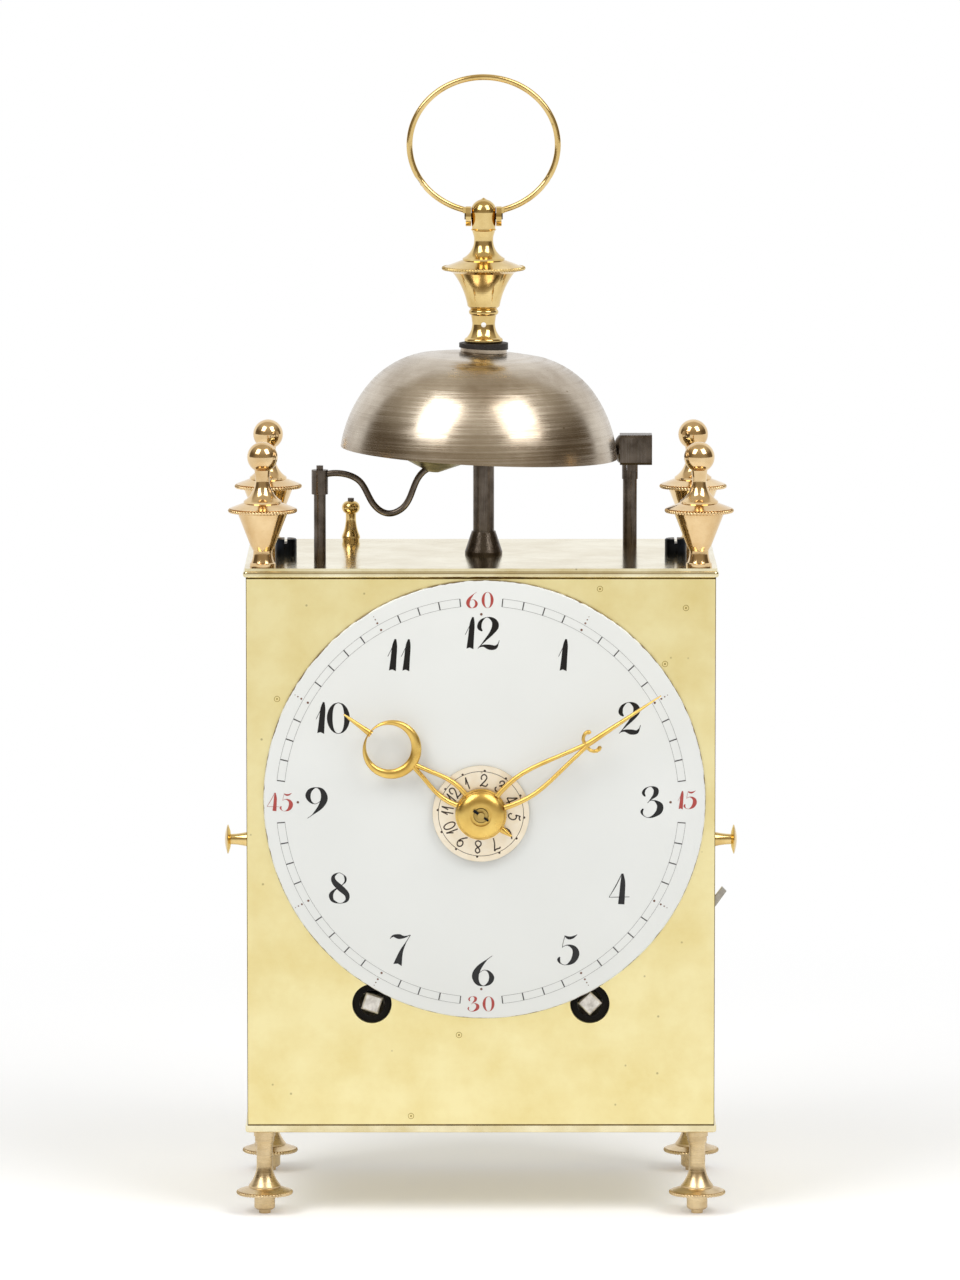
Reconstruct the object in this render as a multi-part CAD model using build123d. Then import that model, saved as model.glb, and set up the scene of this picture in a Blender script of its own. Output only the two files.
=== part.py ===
from build123d import *
import os
from math import asin, atan2, cos, degrees, hypot, pi, radians, sin, sqrt

# A capucine travelling clock. It stands on its feet at z = 0 with its dial towards -Y. All lengths are in
# millimetres. The case is drawn about y = 0, and each piece is then moved back so that the origin lies
# under the middle of the whole clock, hands included.

# Case
case_width = 130.0
case_depth = 75.0
case_height = 153.5
base_plate_t = 2.0
base_overhang = 0.6
top_plate_t = 2.6
top_roll_t = 1.9
top_overhang = 0.8
top_band_overhang = 0.35
front_plate_t = 2.0
rear_plate_t = 2.0
post_side = 5.0
post_inset = 4.6
stud_r = 1.3
stud_length = 7.0
fit_clearance = 0.05
running_clearance = 0.04
rear_screw_r = 1.0
rear_screw_head_r = 2.2
rear_screw_head_t = 1.3
rear_screw_length = 5.5
rear_screw_inset = 12.0

# Side doors
door_t = 1.5
door_gap = 0.35
hinge_bead_r = 1.1
hinge_pin_r = 0.55
hinge_pin_length = 6.0
knob_z = 104.3
knob_inset = 12.0
knob_reach = 6.4
knob_head_r = 4.05
knob_head_t = 1.7
knob_neck_r = 1.45
knob_root_r = 2.1
notch_low = 80.5
notch_high = 94.0
notch_gap = 1.75

# Feet, from the floor up
foot_height = 23.5
foot_tip_r = 1.65
foot_tip_h = 1.05
foot_peg_r = 2.9
foot_peg_top = 5.0
foot_disc_r = 7.5
foot_disc_z = 6.4
foot_step_r = 4.2
foot_step_z = 7.8
foot_column_r = 2.25
foot_collar_r = 3.0
foot_collar_h = 1.7

# Corner finials, from the top plate up
finial_base_r = 3.6
finial_waist_r = 2.65
finial_vase_base_z = 6.3
finial_vase_r = 6.95
finial_vase_z = 14.9
finial_disc_r = 9.15
finial_disc_z = 16.3
finial_step_r = 5.25
finial_step_z = 18.3
finial_neck_r = 2.05
finial_neck_z = 25.1
finial_ball_r = 4.25
finial_height = 34.7

# Bell on its post
bell_x = 0.8
bell_y = 0.0
bell_rim_r = 38.8
bell_height = 28.2
bell_rim_height = 28.6
bell_wall = 1.6
bell_lean = 2.7
post_r = 2.95
post_foot_r = 5.25
post_foot_h = 6.4
bell_stud_r = 1.6
bell_hole_r = 2.0
post_nut_r = 4.0
post_nut_t = 3.0
inner_washer_r = 4.6
inner_washer_t = 1.6
bell_disc_r = 6.5
bell_disc_t = 1.05
leather_r = 6.85
leather_t = 1.5

# Handle finial, from its own foot up
handle_foot_r = 5.4
handle_waist_r = 3.2
handle_waist_h = 5.3
handle_bead_r = 4.15
handle_bead_h = 8.7
handle_vase_base_r = 4.5
handle_vase_r = 8.6
handle_vase_h = 19.65
handle_disc_r = 11.3
handle_disc_h = 21.25
handle_step_r = 5.9
handle_step_h = 23.75
handle_neck_r = 2.75
handle_neck_h = 29.85
handle_collar_r = 3.6
handle_collar_h = 32.05
handle_ball_r = 3.65
handle_ball_h = 36.6
handle_tip_r = 0.9
handle_height = 40.7
handle_pin_hole_r = 0.7
handle_stud_reach = 3.8
flat_x = 3.4
ring_pivot_h = 35.45

# Carrying ring
ring_half_width = 20.7
ring_half_height = 18.85
ring_wire_r = 0.85
ring_end_x = 5.2
ring_top_height = 134.5
ear_r = 2.8
ear_t = 1.5
ear_gap = 0.1
ring_pin_r = 0.9

# Screws through the top plate into the movement
screw_x = 54.7
screw_head_r = 3.05
screw_head_h = 4.3
screw_shank_r = 1.5
screw_slot_w = 0.8
screw_slot_d = 1.2

# Rating nut and suspension rod
rating_y = 32.5
rating_height = 11.4
rating_base_r = 2.65
rating_neck_r = 1.5
rating_bead_r = 2.55
rating_bead_h = 3.5
suspension_rod_r = 0.9
suspension_rod_low = 163.5
suspension_rod_proud = 0.9

# Dial, hands and motion work
dial_r = 61.3
dial_dome = 6.5
dial_t = 1.9
dial_rim_t = 1.3
dial_x = 1.0
dial_z = 117.1
dial_hole_r = 7.6
dial_foot_r = 1.2
dial_foot_pitch_r = 50.0
dial_foot_tail = 3.5
dial_pin_r = 0.4
dial_pin_drop = 0.9
hand_z = 114.4
front_hole_r = 9.0
winding_hole_r = 5.5
winding_spread = 60.6
winding_z = 59.8
alarm_disc_r = 13.35
alarm_disc_t = 0.9
hour_hand_length = 47.0
hour_collet_r = 7.1
hour_collet_t = 1.4
minute_hand_length = 59.7
minute_collet_r = 6.65
minute_collet_t = 2.2
minute_recess_r = 2.95
hand_t = 0.8
hand_gap = 0.5
hour_hand_angle = 306.3
minute_hand_angle = 56.2
arbor_end_r = 0.95
hand_pin_r = 0.4
hand_pin_length = 5.0
cannon_r = 1.9
hour_pipe_r = 2.7
alarm_pipe_r = 3.6

# Movement between its plates
frame_half_width = 60.0
frame_plate_t = 2.5
frame_front_y = -22.0
frame_inside = 34.5
frame_end_gap = 1.5
pillar_r = 4.3
pillar_tenon_r = 2.0
pillar_nut_t = 1.6
winding_arbor_r = 3.0
arbor_r = 1.2
pivot_r = 0.6
end_shake = 0.2
wheel_t = 1.5
tooth_backlash = 0.10
barrel_r = 21.0
barrel_length = 21.0
great_teeth = 60
great_module = 0.86
second_pinion_teeth = 10
second_teeth = 56
second_module = 1.0
centre_pinion_teeth = 8
centre_teeth = 60
centre_module = 0.8
third_pinion_teeth = 8
third_teeth = 54
third_module = 0.78
escape_pinion_teeth = 8
escape_teeth = 30
escape_r = 11.2
escape_x = -36.9
escape_z = 146.0
pallet_clearance = 0.75
winding_square = 4.85
ratchet_teeth = 18
ratchet_r = 8.0
ratchet_t = 1.6
ratchet_depth = 1.3
click_x = -12.6
click_z = 5.0
cannon_teeth = 12
cannon_module = 0.7
minute_teeth = 36
minute_pinion_teeth = 10
hour_teeth = 40
warning_teeth = 48
warning_module = 0.75
fly_half_width = 8.5
fly_length = 17.0
strike_pins = 8
strike_pin_r = 0.8
pendulum_low = 62.0
pendulum_bob_r = 12.0
pendulum_bob_t = 4.6
pendulum_rod_r = 0.6
crutch_drop = 28.0
pendulum_bend_z = 162.0
spring_t = 0.2
spring_w = 1.4

# Strike hammer and alarm hammer
strike_x = 42.3
strike_y = 25.5
strike_arbor_r = 2.0
strike_collar_r = 2.25
strike_collar_z = 18.5
strike_collar_h = 6.0
strike_low = 98.0
strike_head_y = 10.0
strike_head_h = 8.4
strike_head_t = 10.9
strike_arm_h = 2.2
tail_half = 0.8
strike_bell_gap = 0.4
alarm_x = -44.9
alarm_y = -13.6
alarm_arbor_r = 1.67
alarm_collar_r = 2.3
alarm_collar_z = 18.2
alarm_collar_h = 6.8
alarm_low = 92.0
alarm_wheel_z = 107.0
alarm_wheel_r = 9.0
alarm_head_r = 9.0
alarm_arm_r = 0.9
verge_flag = 2.1
alarm_arm_turn = -4.0
alarm_head_x = 31.7
alarm_head_z = 24.6
arm_points = [(1.6, 23.7), (6.0, 24.0), (11.0, 22.0), (15.2, 15.2), (19.0, 12.9), (23.3, 14.6), (27.0, 22.0),
              (31.5, 26.0)]

# Repeat lever
lever_t = 1.8
lever_forward = 6.4
lever_pivot_x = 40.0
lever_pivot_z = 83.4
lever_pivot_r = 2.0

base_z = foot_height
body_z = base_z + base_plate_t
body_top = body_z + case_height
top_z = body_top + top_plate_t
front_y = -case_depth / 2
rear_y = case_depth / 2
side_x = case_width / 2
corner_x = side_x - post_inset
corner_y = case_depth / 2 - front_plate_t - post_side / 2
frame_rear_y = frame_front_y + frame_plate_t + frame_inside
inside_front = frame_front_y + frame_plate_t
inside_rear = frame_rear_y
frame_low = body_z + frame_end_gap
frame_high = body_top - frame_end_gap
winding_x = winding_spread / 2
lever_y = frame_front_y - lever_forward


def lathe(start, *steps):
    """A turned solid about Z. A step is a point (r, z), or (middle, end) for an arc."""
    edges = []
    at = start
    for step in steps:
        if isinstance(step[0], tuple):
            middle, end = step
            edges.append(ThreePointArc((at[0], 0, at[1]), (middle[0], 0, middle[1]), (end[0], 0, end[1])))
        else:
            end = step
            edges.append(Line((at[0], 0, at[1]), (end[0], 0, end[1])))
        at = end
    if hypot(at[0] - start[0], at[1] - start[1]) > 1e-6:
        edges.append(Line((at[0], 0, at[1]), (start[0], 0, start[1])))
    return revolve(Face(Wire(edges)), axis=Axis.Z, revolution_arc=360)


def rod(radius, low, high, inner=0.0):
    """An upright round bar or tube between two heights."""
    bar = Pos(0, 0, low) * Cylinder(radius, high - low, align=(Align.CENTER, Align.CENTER, Align.MIN))
    if inner > 0:
        bar -= Pos(0, 0, low) * Cylinder(inner, high - low, align=(Align.CENTER, Align.CENTER, Align.MIN))
    return bar


def slab(x0, x1, y0, y1, z0, z1):
    """A block between two corners."""
    return Pos((x0 + x1) / 2, (y0 + y1) / 2, (z0 + z1) / 2) * Box(x1 - x0, y1 - y0, z1 - z0)


def facing(shape, x, y, z):
    """Turns what is built along +Z so that it runs from (x, y, z) towards the dial side."""
    return Pos(x, y, z) * Rot(90, 0, 0) * shape


def bar_y(x, z, rear, front, radius, inner=0.0):
    """A round bar along Y, from its rear end to its front end."""
    return facing(rod(radius, 0, rear - front, inner), x, rear, z)


def raised(face, height):
    """Gives a flat outline its thickness, upwards."""
    return extrude(face, height, dir=(0, 0, 1))


def cap(r, low, high):
    """An arc step for lathe: a dome from radius r at one height to the axis at another."""
    rise = high - low
    ball = (r ** 2 + rise ** 2) / (2 * abs(rise))
    fall = ball - sqrt(ball ** 2 - (r / 2) ** 2)
    return ((r / 2, high - fall if rise > 0 else high + fall), (0, high))


def cup(r, low, high):
    """An arc step for lathe: from the axis at one height out to radius r at another."""
    rise = high - low
    ball = (r ** 2 + rise ** 2) / (2 * rise)
    fall = ball - sqrt(ball ** 2 - (r / 2) ** 2)
    return ((r / 2, low + fall), (r, high))


def polygon(points):
    return Face(Wire.make_polygon([Vector(x, y, 0) for x, y in points], close=True))


def toothed(teeth, module, phase=0.0):
    """A gear's outline, seen from the dial side, with one tooth pointing at the phase angle."""
    pitch_r = teeth * module / 2
    root_r = pitch_r - 1.15 * module
    tip_r = pitch_r + 0.85 * module
    half = pi / teeth / 2 - tooth_backlash / pitch_r / 2
    points = []
    for k in range(teeth):
        middle = radians(phase) + 2 * pi * k / teeth
        for radius, width in ((root_r, -1.1), (pitch_r, -0.95), (tip_r, -0.42),
                              (tip_r, 0.42), (pitch_r, 0.95), (root_r, 1.1)):
            angle = middle + width * half
            points.append((radius * cos(angle), radius * sin(angle)))
    return polygon(points)


def crossed(face, hub_r, rim_r, spokes, spoke_w):
    """Cuts the windows between a wheel's spokes."""
    window = Circle(rim_r) - Circle(hub_r)
    for k in range(spokes):
        window -= Rot(0, 0, 360 * k / spokes + 45) * Pos(rim_r / 2, 0) * Rectangle(rim_r * 1.2, spoke_w)
    return face - window


def wheel(teeth, module, phase, thickness, hub_r, bore, spokes=5):
    """A crossed-out wheel with its teeth."""
    outline = toothed(teeth, module, phase)
    rim_r = teeth * module / 2 - 2.2 * module - 1.2
    outline = crossed(outline, hub_r, rim_r, spokes, 1.8)
    blank = raised(outline, thickness)
    return blank - rod(bore, -1, thickness + 1)


def towards(here, there):
    """The angle from one arbor to another, seen from the dial side."""
    return degrees(atan2(there[1] - here[1], there[0] - here[0]))


def third_corner(a, b, from_a, from_b, side):
    """The point at given distances from two others, to the left (+1) or right (-1) of the line."""
    dx, dz = b[0] - a[0], b[1] - a[1]
    span = hypot(dx, dz)
    along = (from_a ** 2 - from_b ** 2 + span ** 2) / (2 * span)
    off = side * sqrt(max(from_a ** 2 - along ** 2, 0))
    return (a[0] + (along * dx - off * dz) / span, a[1] + (along * dz + off * dx) / span)


# Arbor places, as (x, z), seen from the dial side
going = (-winding_x, winding_z)
striking = (winding_x, winding_z)
centre = (0.0, hand_z)
escape = (escape_x, escape_z)
second_reach = (great_teeth + second_pinion_teeth) * great_module / 2
second = third_corner(going, centre, second_reach, (second_teeth + centre_pinion_teeth) * second_module / 2, 1)
third = third_corner(centre, escape, (centre_teeth + third_pinion_teeth) * centre_module / 2,
                     (third_teeth + escape_pinion_teeth) * third_module / 2, -1)
pin_wheel = (striking[0] + second_reach * cos(radians(80)), striking[1] + second_reach * sin(radians(80)))
warning_reach = (centre_teeth + third_pinion_teeth) * centre_module / 2
warning = (pin_wheel[0] + warning_reach * cos(radians(100)), pin_wheel[1] + warning_reach * sin(radians(100)))
fly_reach = (warning_teeth + escape_pinion_teeth) * warning_module / 2
fly = (warning[0] + fly_reach * cos(radians(75)), warning[1] + fly_reach * sin(radians(75)))
pallet_reach = escape_r * sqrt(2)
pallets = (escape_x, escape_z + pallet_reach)
motion_reach = (cannon_teeth + minute_teeth) * cannon_module / 2
hour_module = 2 * motion_reach / (minute_pinion_teeth + hour_teeth)
minute_arbor = (motion_reach * cos(radians(-30)), hand_z + motion_reach * sin(radians(-30)))


# Case

def make_base_plate():
    plate = Pos(0, 0, base_z + base_plate_t / 2) * Box(
        case_width + 2 * base_overhang, case_depth + 2 * base_overhang, base_plate_t)
    plate = fillet(plate.edges().filter_by(Axis.Z), 1.0)
    plate = fillet(plate.faces().sort_by(Axis.Z)[0].edges(), 0.6)
    for x, y in corners():
        plate -= Pos(x, y, 0) * rod(stud_r + fit_clearance, base_z - 1, body_z + 1)
    for pin in make_door_pins():
        plate -= pin
    return plate


def corners():
    return [(sx * corner_x, sy * corner_y) for sy in (-1, 1) for sx in (-1, 1)]


def make_top_plate():
    roll = Pos(0, 0, body_top + top_roll_t / 2) * Box(
        case_width + 2 * top_overhang, case_depth + 2 * top_overhang, top_roll_t)
    roll = fillet(roll.edges().filter_by(Axis.Z), 1.2)
    roll = fillet(roll.faces().sort_by(Axis.Z)[-1].edges(), 0.8)
    roll = fillet(roll.faces().sort_by(Axis.Z)[0].edges(), 0.8)
    band = slab(-side_x - top_band_overhang, side_x + top_band_overhang, front_y - top_band_overhang,
                rear_y + top_band_overhang, top_z - top_plate_t / 2, top_z)
    plate = roll + fillet(band.edges().filter_by(Axis.Z), 1.0)
    holes = [(x, y, stud_r) for x, y in corners()]
    holes += [(sx * screw_x, 0, screw_shank_r) for sx in (-1, 1)]
    holes += [(bell_x, bell_y, bell_stud_r), (escape_x, rating_y, suspension_rod_r)]
    for x, y, radius in holes:
        plate -= Pos(x, y, 0) * rod(radius + fit_clearance, body_top - 1, top_z + 1)
    for x, y, radius in ((strike_x, strike_y, strike_arbor_r), (alarm_x, alarm_y, alarm_arbor_r)):
        plate -= Pos(x, y, 0) * rod(radius + running_clearance, body_top - 1, top_z + 1)
    for pin in make_door_pins():
        plate -= pin
    return plate


def make_corner_posts():
    posts = []
    for x, y in corners():
        post = slab(x - post_side / 2, x + post_side / 2, y - post_side / 2, y + post_side / 2, body_z, body_top)
        post -= Pos(x, y, 0) * rod(stud_r + fit_clearance, body_z - 1, body_z + stud_length)
        post -= Pos(x, y, 0) * rod(stud_r + fit_clearance, body_top - stud_length, body_top + 1)
        if y > 0:
            for z in (body_z + rear_screw_inset, body_top - rear_screw_inset):
                post -= bar_y(x, z, y + post_side, y - post_side / 2 + 1.0, rear_screw_r + fit_clearance)
        posts.append(post)
    return posts


def make_front_plate():
    plate = slab(-side_x, side_x, front_y, front_y + front_plate_t, body_z, body_top)
    plate -= bar_y(0, hand_z, 0, front_y - 1, front_hole_r)
    for x in (-winding_x, winding_x):
        plate -= bar_y(x, winding_z, 0, front_y - 1, winding_hole_r)
    for x, z in dial_feet():
        plate -= bar_y(x, z, 0, front_y - 1, dial_foot_r + fit_clearance)
    return plate


def dial_feet():
    return [(dial_x + dial_foot_pitch_r * cos(radians(a)), dial_z + dial_foot_pitch_r * sin(radians(a)))
            for a in (90, 210, 330)]


def rear_screw_places():
    return [(sx * corner_x, z) for sx in (-1, 1) for z in (body_z + rear_screw_inset, body_top - rear_screw_inset)]


def make_rear_plate():
    plate = slab(-side_x, side_x, rear_y - rear_plate_t, rear_y, body_z, body_top)
    for x, z in rear_screw_places():
        plate -= bar_y(x, z, rear_y + 1, 0, rear_screw_r + fit_clearance)
    return plate


def make_rear_plate_screws():
    screws = []
    for x, z in rear_screw_places():
        screw = bar_y(x, z, rear_y + rear_screw_head_t, rear_y, rear_screw_head_r)
        screw += bar_y(x, z, rear_y, rear_y - rear_screw_length, rear_screw_r)
        screw -= slab(x - 3, x + 3, rear_y + rear_screw_head_t - 0.6, rear_y + 2, z - 0.3, z + 0.3)
        screws.append(screw)
    return screws


# Side doors with their pins and knobs

hinge_x = side_x - door_t / 2
hinge_y = rear_y - rear_plate_t - hinge_bead_r - 0.15
door_front_y = front_y + front_plate_t + door_gap
door_low = body_z + door_gap
door_high = body_top - door_gap
knob_y = front_y + knob_inset


def make_door(side):
    panel = slab(hinge_x - door_t / 2, hinge_x + door_t / 2, door_front_y, hinge_y, door_low, door_high)
    panel += Pos(hinge_x, hinge_y, 0) * rod(hinge_bead_r, door_low, door_high)
    for low in (door_low, door_high - hinge_pin_length):
        panel -= Pos(hinge_x, hinge_y, 0) * rod(
            hinge_pin_r + running_clearance, low - 1, low + hinge_pin_length + 1)
    panel -= bar_x(knob_y, knob_z, 0, side_x + 5, 1.0 + fit_clearance)
    if side > 0:
        panel -= slab(side_x - 5, side_x + 5, door_front_y - 1, lever_y + notch_gap, notch_low, notch_high)
    return panel if side > 0 else panel.mirror(Plane.YZ)


def bar_x(y, z, low, high, radius):
    return Pos(low, y, z) * Rot(0, 90, 0) * rod(radius, 0, high - low)


def make_door_knob(side):
    knob = lathe((0, -door_t - 1.0), (1.8, -door_t - 1.0), (1.8, -door_t), (1.0, -door_t), (1.0, 0),
                 (knob_root_r, 0), ((1.6, knob_reach * 0.4), (knob_neck_r, knob_reach - knob_head_t)),
                 (knob_head_r * 0.55, knob_reach - knob_head_t + 0.1),
                 (knob_head_r, knob_reach - knob_head_t * 0.6), (knob_head_r, knob_reach - knob_head_t * 0.45),
                 cap(knob_head_r, knob_reach - knob_head_t * 0.45, knob_reach))
    knob = Pos(side_x, knob_y, knob_z) * Rot(0, 90, 0) * knob
    return knob if side > 0 else knob.mirror(Plane.YZ)


def make_door_pins():
    pins = []
    for sx in (-1, 1):
        for low in (body_z - base_plate_t * 0.6, body_top - hinge_pin_length + 0.5):
            pins.append(Pos(sx * hinge_x, hinge_y, 0) * rod(hinge_pin_r, low, low + hinge_pin_length + 0.7))
    return pins


# Turned feet and finials

def make_foot(x, y):
    flare_top = foot_height - foot_collar_h - 1.4
    turned = lathe(
        (0, 0), (foot_tip_r, 0), (foot_tip_r, foot_tip_h), (foot_peg_r - 0.5, foot_tip_h),
        (foot_peg_r, foot_tip_h + 0.5), (foot_peg_r, foot_peg_top), (foot_disc_r - 0.6, foot_disc_z - 0.7),
        (foot_disc_r, foot_disc_z), (foot_step_r + 0.3, foot_step_z - 0.4), (foot_step_r + 0.3, foot_step_z),
        ((foot_column_r + 0.55, foot_step_z + 2.9), (foot_column_r, foot_step_z + 7.0)),
        (foot_column_r, flare_top - 2.0), ((foot_column_r + 0.1, flare_top - 0.9), (foot_column_r + 0.45, flare_top)),
        (foot_column_r + 0.45, foot_height - foot_collar_h), (foot_collar_r, foot_height - foot_collar_h),
        (foot_collar_r, foot_height), (stud_r, foot_height),
        (stud_r, foot_height + base_plate_t + stud_length - 1.0), (0, foot_height + base_plate_t + stud_length - 1.0))
    return Pos(x, y, 0) * turned


def make_finial(x, y):
    ball_z = finial_height - finial_ball_r
    seat = sqrt(finial_ball_r ** 2 - (finial_neck_r + 0.2) ** 2)
    turned = lathe(
        (0, -top_plate_t - stud_length + 1.0), (stud_r, -top_plate_t - stud_length + 1.0), (stud_r, 0),
        (finial_base_r, 0), (finial_base_r, 1.0), (finial_base_r - 0.35, 1.2),
        ((finial_waist_r + 0.1, 2.9), (finial_waist_r, 4.5)), (finial_base_r - 0.2, finial_vase_base_z - 0.5),
        (finial_base_r, finial_vase_base_z), ((finial_base_r + 1.9, finial_vase_z - 3.7), (finial_vase_r, finial_vase_z)),
        (finial_disc_r - 0.5, finial_disc_z - 0.55), (finial_disc_r, finial_disc_z),
        (finial_step_r, finial_step_z - 0.5), (finial_step_r, finial_step_z),
        ((finial_neck_r + 0.75, finial_step_z + 2.6), (finial_neck_r, finial_neck_z)),
        (finial_neck_r + 0.2, ball_z - seat),
        ((finial_ball_r, ball_z), (0, finial_height)))
    return Pos(x, y, top_z) * turned


# Bell, its post and the handle above it

bell_rim_z = top_z + bell_rim_height
bell_crown_z = bell_rim_z + bell_height
crown = Pos(bell_x, bell_y, bell_crown_z) * Rot(0, bell_lean, 0)
post_top = bell_crown_z - bell_wall - inner_washer_t
disc_low = bell_crown_z
leather_low = disc_low + bell_disc_t
handle_z = leather_low + leather_t


def make_bell():
    h = bell_height
    r = bell_rim_r
    w = bell_wall
    outer = [((0.9278 * r, 0.372 * h - h), (0.786 * r, 0.683 * h - h)),
             ((0.652 * r, 0.838 * h - h), (0.464 * r, 0.952 * h - h)),
             ((0.26 * r, -0.012 * h), (4.5, 0))]
    shell = lathe((r - w, -h), (r, -h), *outer, (0, 0), (0, -w), (4.5, -w),
                  ((0.26 * r - 0.2, -0.012 * h - w), (0.464 * r - 0.4, 0.952 * h - h - w * 0.95)),
                  ((0.652 * r - w * 0.6, 0.838 * h - h - w * 0.8), (0.786 * r - w * 0.8, 0.683 * h - h - w * 0.62)),
                  ((0.9278 * r - w, 0.372 * h - h - w * 0.3), (r - w, -h)))
    shell -= rod(bell_hole_r, -h, 1)
    return crown * shell


def make_bell_post():
    post = lathe((0, body_top - post_nut_t - 1.5), (bell_stud_r, body_top - post_nut_t - 1.5), (bell_stud_r, top_z),
                 (post_foot_r, top_z), (post_foot_r, top_z + 0.7), (post_r + 0.45, top_z + post_foot_h - 0.2),
                 (post_r + 0.45, top_z + post_foot_h), (post_r, top_z + post_foot_h), (post_r, post_top),
                 (bell_stud_r, post_top), (bell_stud_r, handle_z + handle_stud_reach),
                 (0, handle_z + handle_stud_reach))
    return Pos(bell_x, bell_y, 0) * post


def make_bell_post_nut():
    nut = raised(RegularPolygon(post_nut_r, 6), post_nut_t)
    nut = Pos(bell_x, bell_y, body_top - post_nut_t) * nut
    return nut - Pos(bell_x, bell_y, 0) * rod(bell_stud_r + fit_clearance, 0, body_top + 1)


def under(shape, height):
    """Keeps what lies under the leaning plane through the crown, moved down by a height."""
    block = Pos(0, 0, -height) * Box(60, 60, 40, align=(Align.CENTER, Align.CENTER, Align.MAX))
    return shape & (crown * block)


def make_inner_washer():
    washer = rod(inner_washer_r, post_top, bell_crown_z + 2, bell_stud_r + fit_clearance)
    return under(Pos(bell_x, bell_y, 0) * washer, bell_wall)


def make_bell_disc():
    return crown * rod(bell_disc_r, 0, bell_disc_t, bell_hole_r)


def make_leather_washer():
    washer = Pos(bell_x, bell_y, 0) * rod(leather_r, disc_low - 1, handle_z, bell_stud_r + fit_clearance)
    return washer - under(washer, -bell_disc_t)


def make_handle_finial():
    tip_low = handle_ball_h + sqrt(handle_ball_r ** 2 - handle_tip_r ** 2)
    turned = lathe(
        (0, 0), (handle_foot_r - 0.6, 0), ((handle_foot_r, 0.75), (handle_foot_r - 0.6, 1.5)),
        ((handle_waist_r + 0.35, handle_waist_h - 1.8), (handle_waist_r, handle_waist_h)),
        ((handle_waist_r + 0.15, handle_waist_h + 1.4), (handle_bead_r - 0.6, handle_bead_h - 0.9)),
        ((handle_bead_r, handle_bead_h), (handle_bead_r - 0.5, handle_bead_h + 0.8)),
        (handle_vase_base_r, handle_bead_h + 1.6),
        ((handle_vase_base_r + 1.6, handle_vase_h - 4.2), (handle_vase_r, handle_vase_h)),
        (handle_disc_r - 0.6, handle_disc_h - 0.7), (handle_disc_r, handle_disc_h),
        (handle_step_r, handle_step_h - 0.5), (handle_step_r, handle_step_h),
        ((handle_neck_r + 0.6, handle_step_h + 2.4), (handle_neck_r, handle_neck_h)),
        (handle_collar_r - 0.4, handle_collar_h - 0.7), (handle_collar_r, handle_collar_h - 0.35),
        (handle_collar_r - 0.3, handle_collar_h),
        (handle_ball_r - 0.35, handle_collar_h + 0.7), (handle_ball_r, handle_ball_h),
        ((handle_ball_r * cos(pi / 6), handle_ball_h + handle_ball_r / 2), (handle_tip_r, tip_low)),
        (0, handle_height))
    turned -= rod(bell_stud_r + fit_clearance, -1, handle_stud_reach + 0.3)
    turned -= bar_y(0, handle_waist_h, 9, -9, handle_pin_hole_r)
    for sx in (-1, 1):
        turned -= slab(sx * (flat_x + 3) - 3, sx * (flat_x + 3) + 3, -8, 8,
                       ring_pivot_h - ear_r - 0.4, ring_pivot_h + ear_r + 0.4)
    turned -= bar_x(0, ring_pivot_h, -9, 9, ring_pin_r + fit_clearance)
    return Pos(bell_x, bell_y, handle_z) * turned


ear_low_x = flat_x + ear_gap
ear_high_x = ear_low_x + ear_t
ring_pivot_z = handle_z + ring_pivot_h
ring_top_z = top_z + ring_top_height
ring_centre_z = ring_top_z - ring_wire_r - ring_half_height


def make_carrying_ring():
    drop = ring_half_height * sqrt(1 - (ring_end_x / ring_half_width) ** 2)
    end_angle = degrees(atan2(-drop / ring_half_height, ring_end_x / ring_half_width))
    path = Plane.XZ * EllipticalCenterArc(
        (0, 0), ring_half_width, ring_half_height, start_angle=end_angle, arc_size=180 - 2 * end_angle)
    start = path @ 0
    section = Plane(origin=start, z_dir=path % 0) * Circle(ring_wire_r)
    loop = sweep(section, path=path)
    loop = Pos(bell_x, bell_y, ring_centre_z) * loop
    for sx in (-1, 1):
        low, high = sorted((sx * ear_low_x, sx * ear_high_x))
        ear = Pos(bell_x, 0, 0) * bar_x(bell_y, ring_pivot_z, low, high, ear_r)
        tab_low, tab_high = sorted((sx * (ear_high_x - 0.5), sx * (ring_end_x + 0.6)))
        tab = slab(bell_x + tab_low, bell_x + tab_high, bell_y - ring_wire_r, bell_y + ring_wire_r,
                   ring_centre_z - drop - ring_wire_r, ring_centre_z - drop + ring_wire_r)
        loop = loop + ear + tab
    return loop - (Pos(bell_x, 0, 0) * bar_x(bell_y, ring_pivot_z, -9, 9, ring_pin_r + running_clearance))


def make_ring_pin():
    half = ear_high_x + 0.35
    return Pos(bell_x, 0, 0) * bar_x(bell_y, ring_pivot_z, -half, half, ring_pin_r)


def make_top_screws():
    screws = []
    for sx in (-1, 1):
        head = lathe((0, top_z), (screw_head_r, top_z), (screw_head_r, top_z + screw_head_h - 0.3),
                     (screw_head_r - 0.3, top_z + screw_head_h), (0, top_z + screw_head_h))
        screw = head + rod(screw_shank_r, body_top - 6.0, top_z)
        slot_low = top_z + screw_head_h - screw_slot_d
        screw -= slab(-screw_slot_w / 2, screw_slot_w / 2, -9, 9, slot_low, slot_low + 5)
        screws.append(Pos(sx * screw_x, 0, 0) * screw)
    return screws


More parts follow.
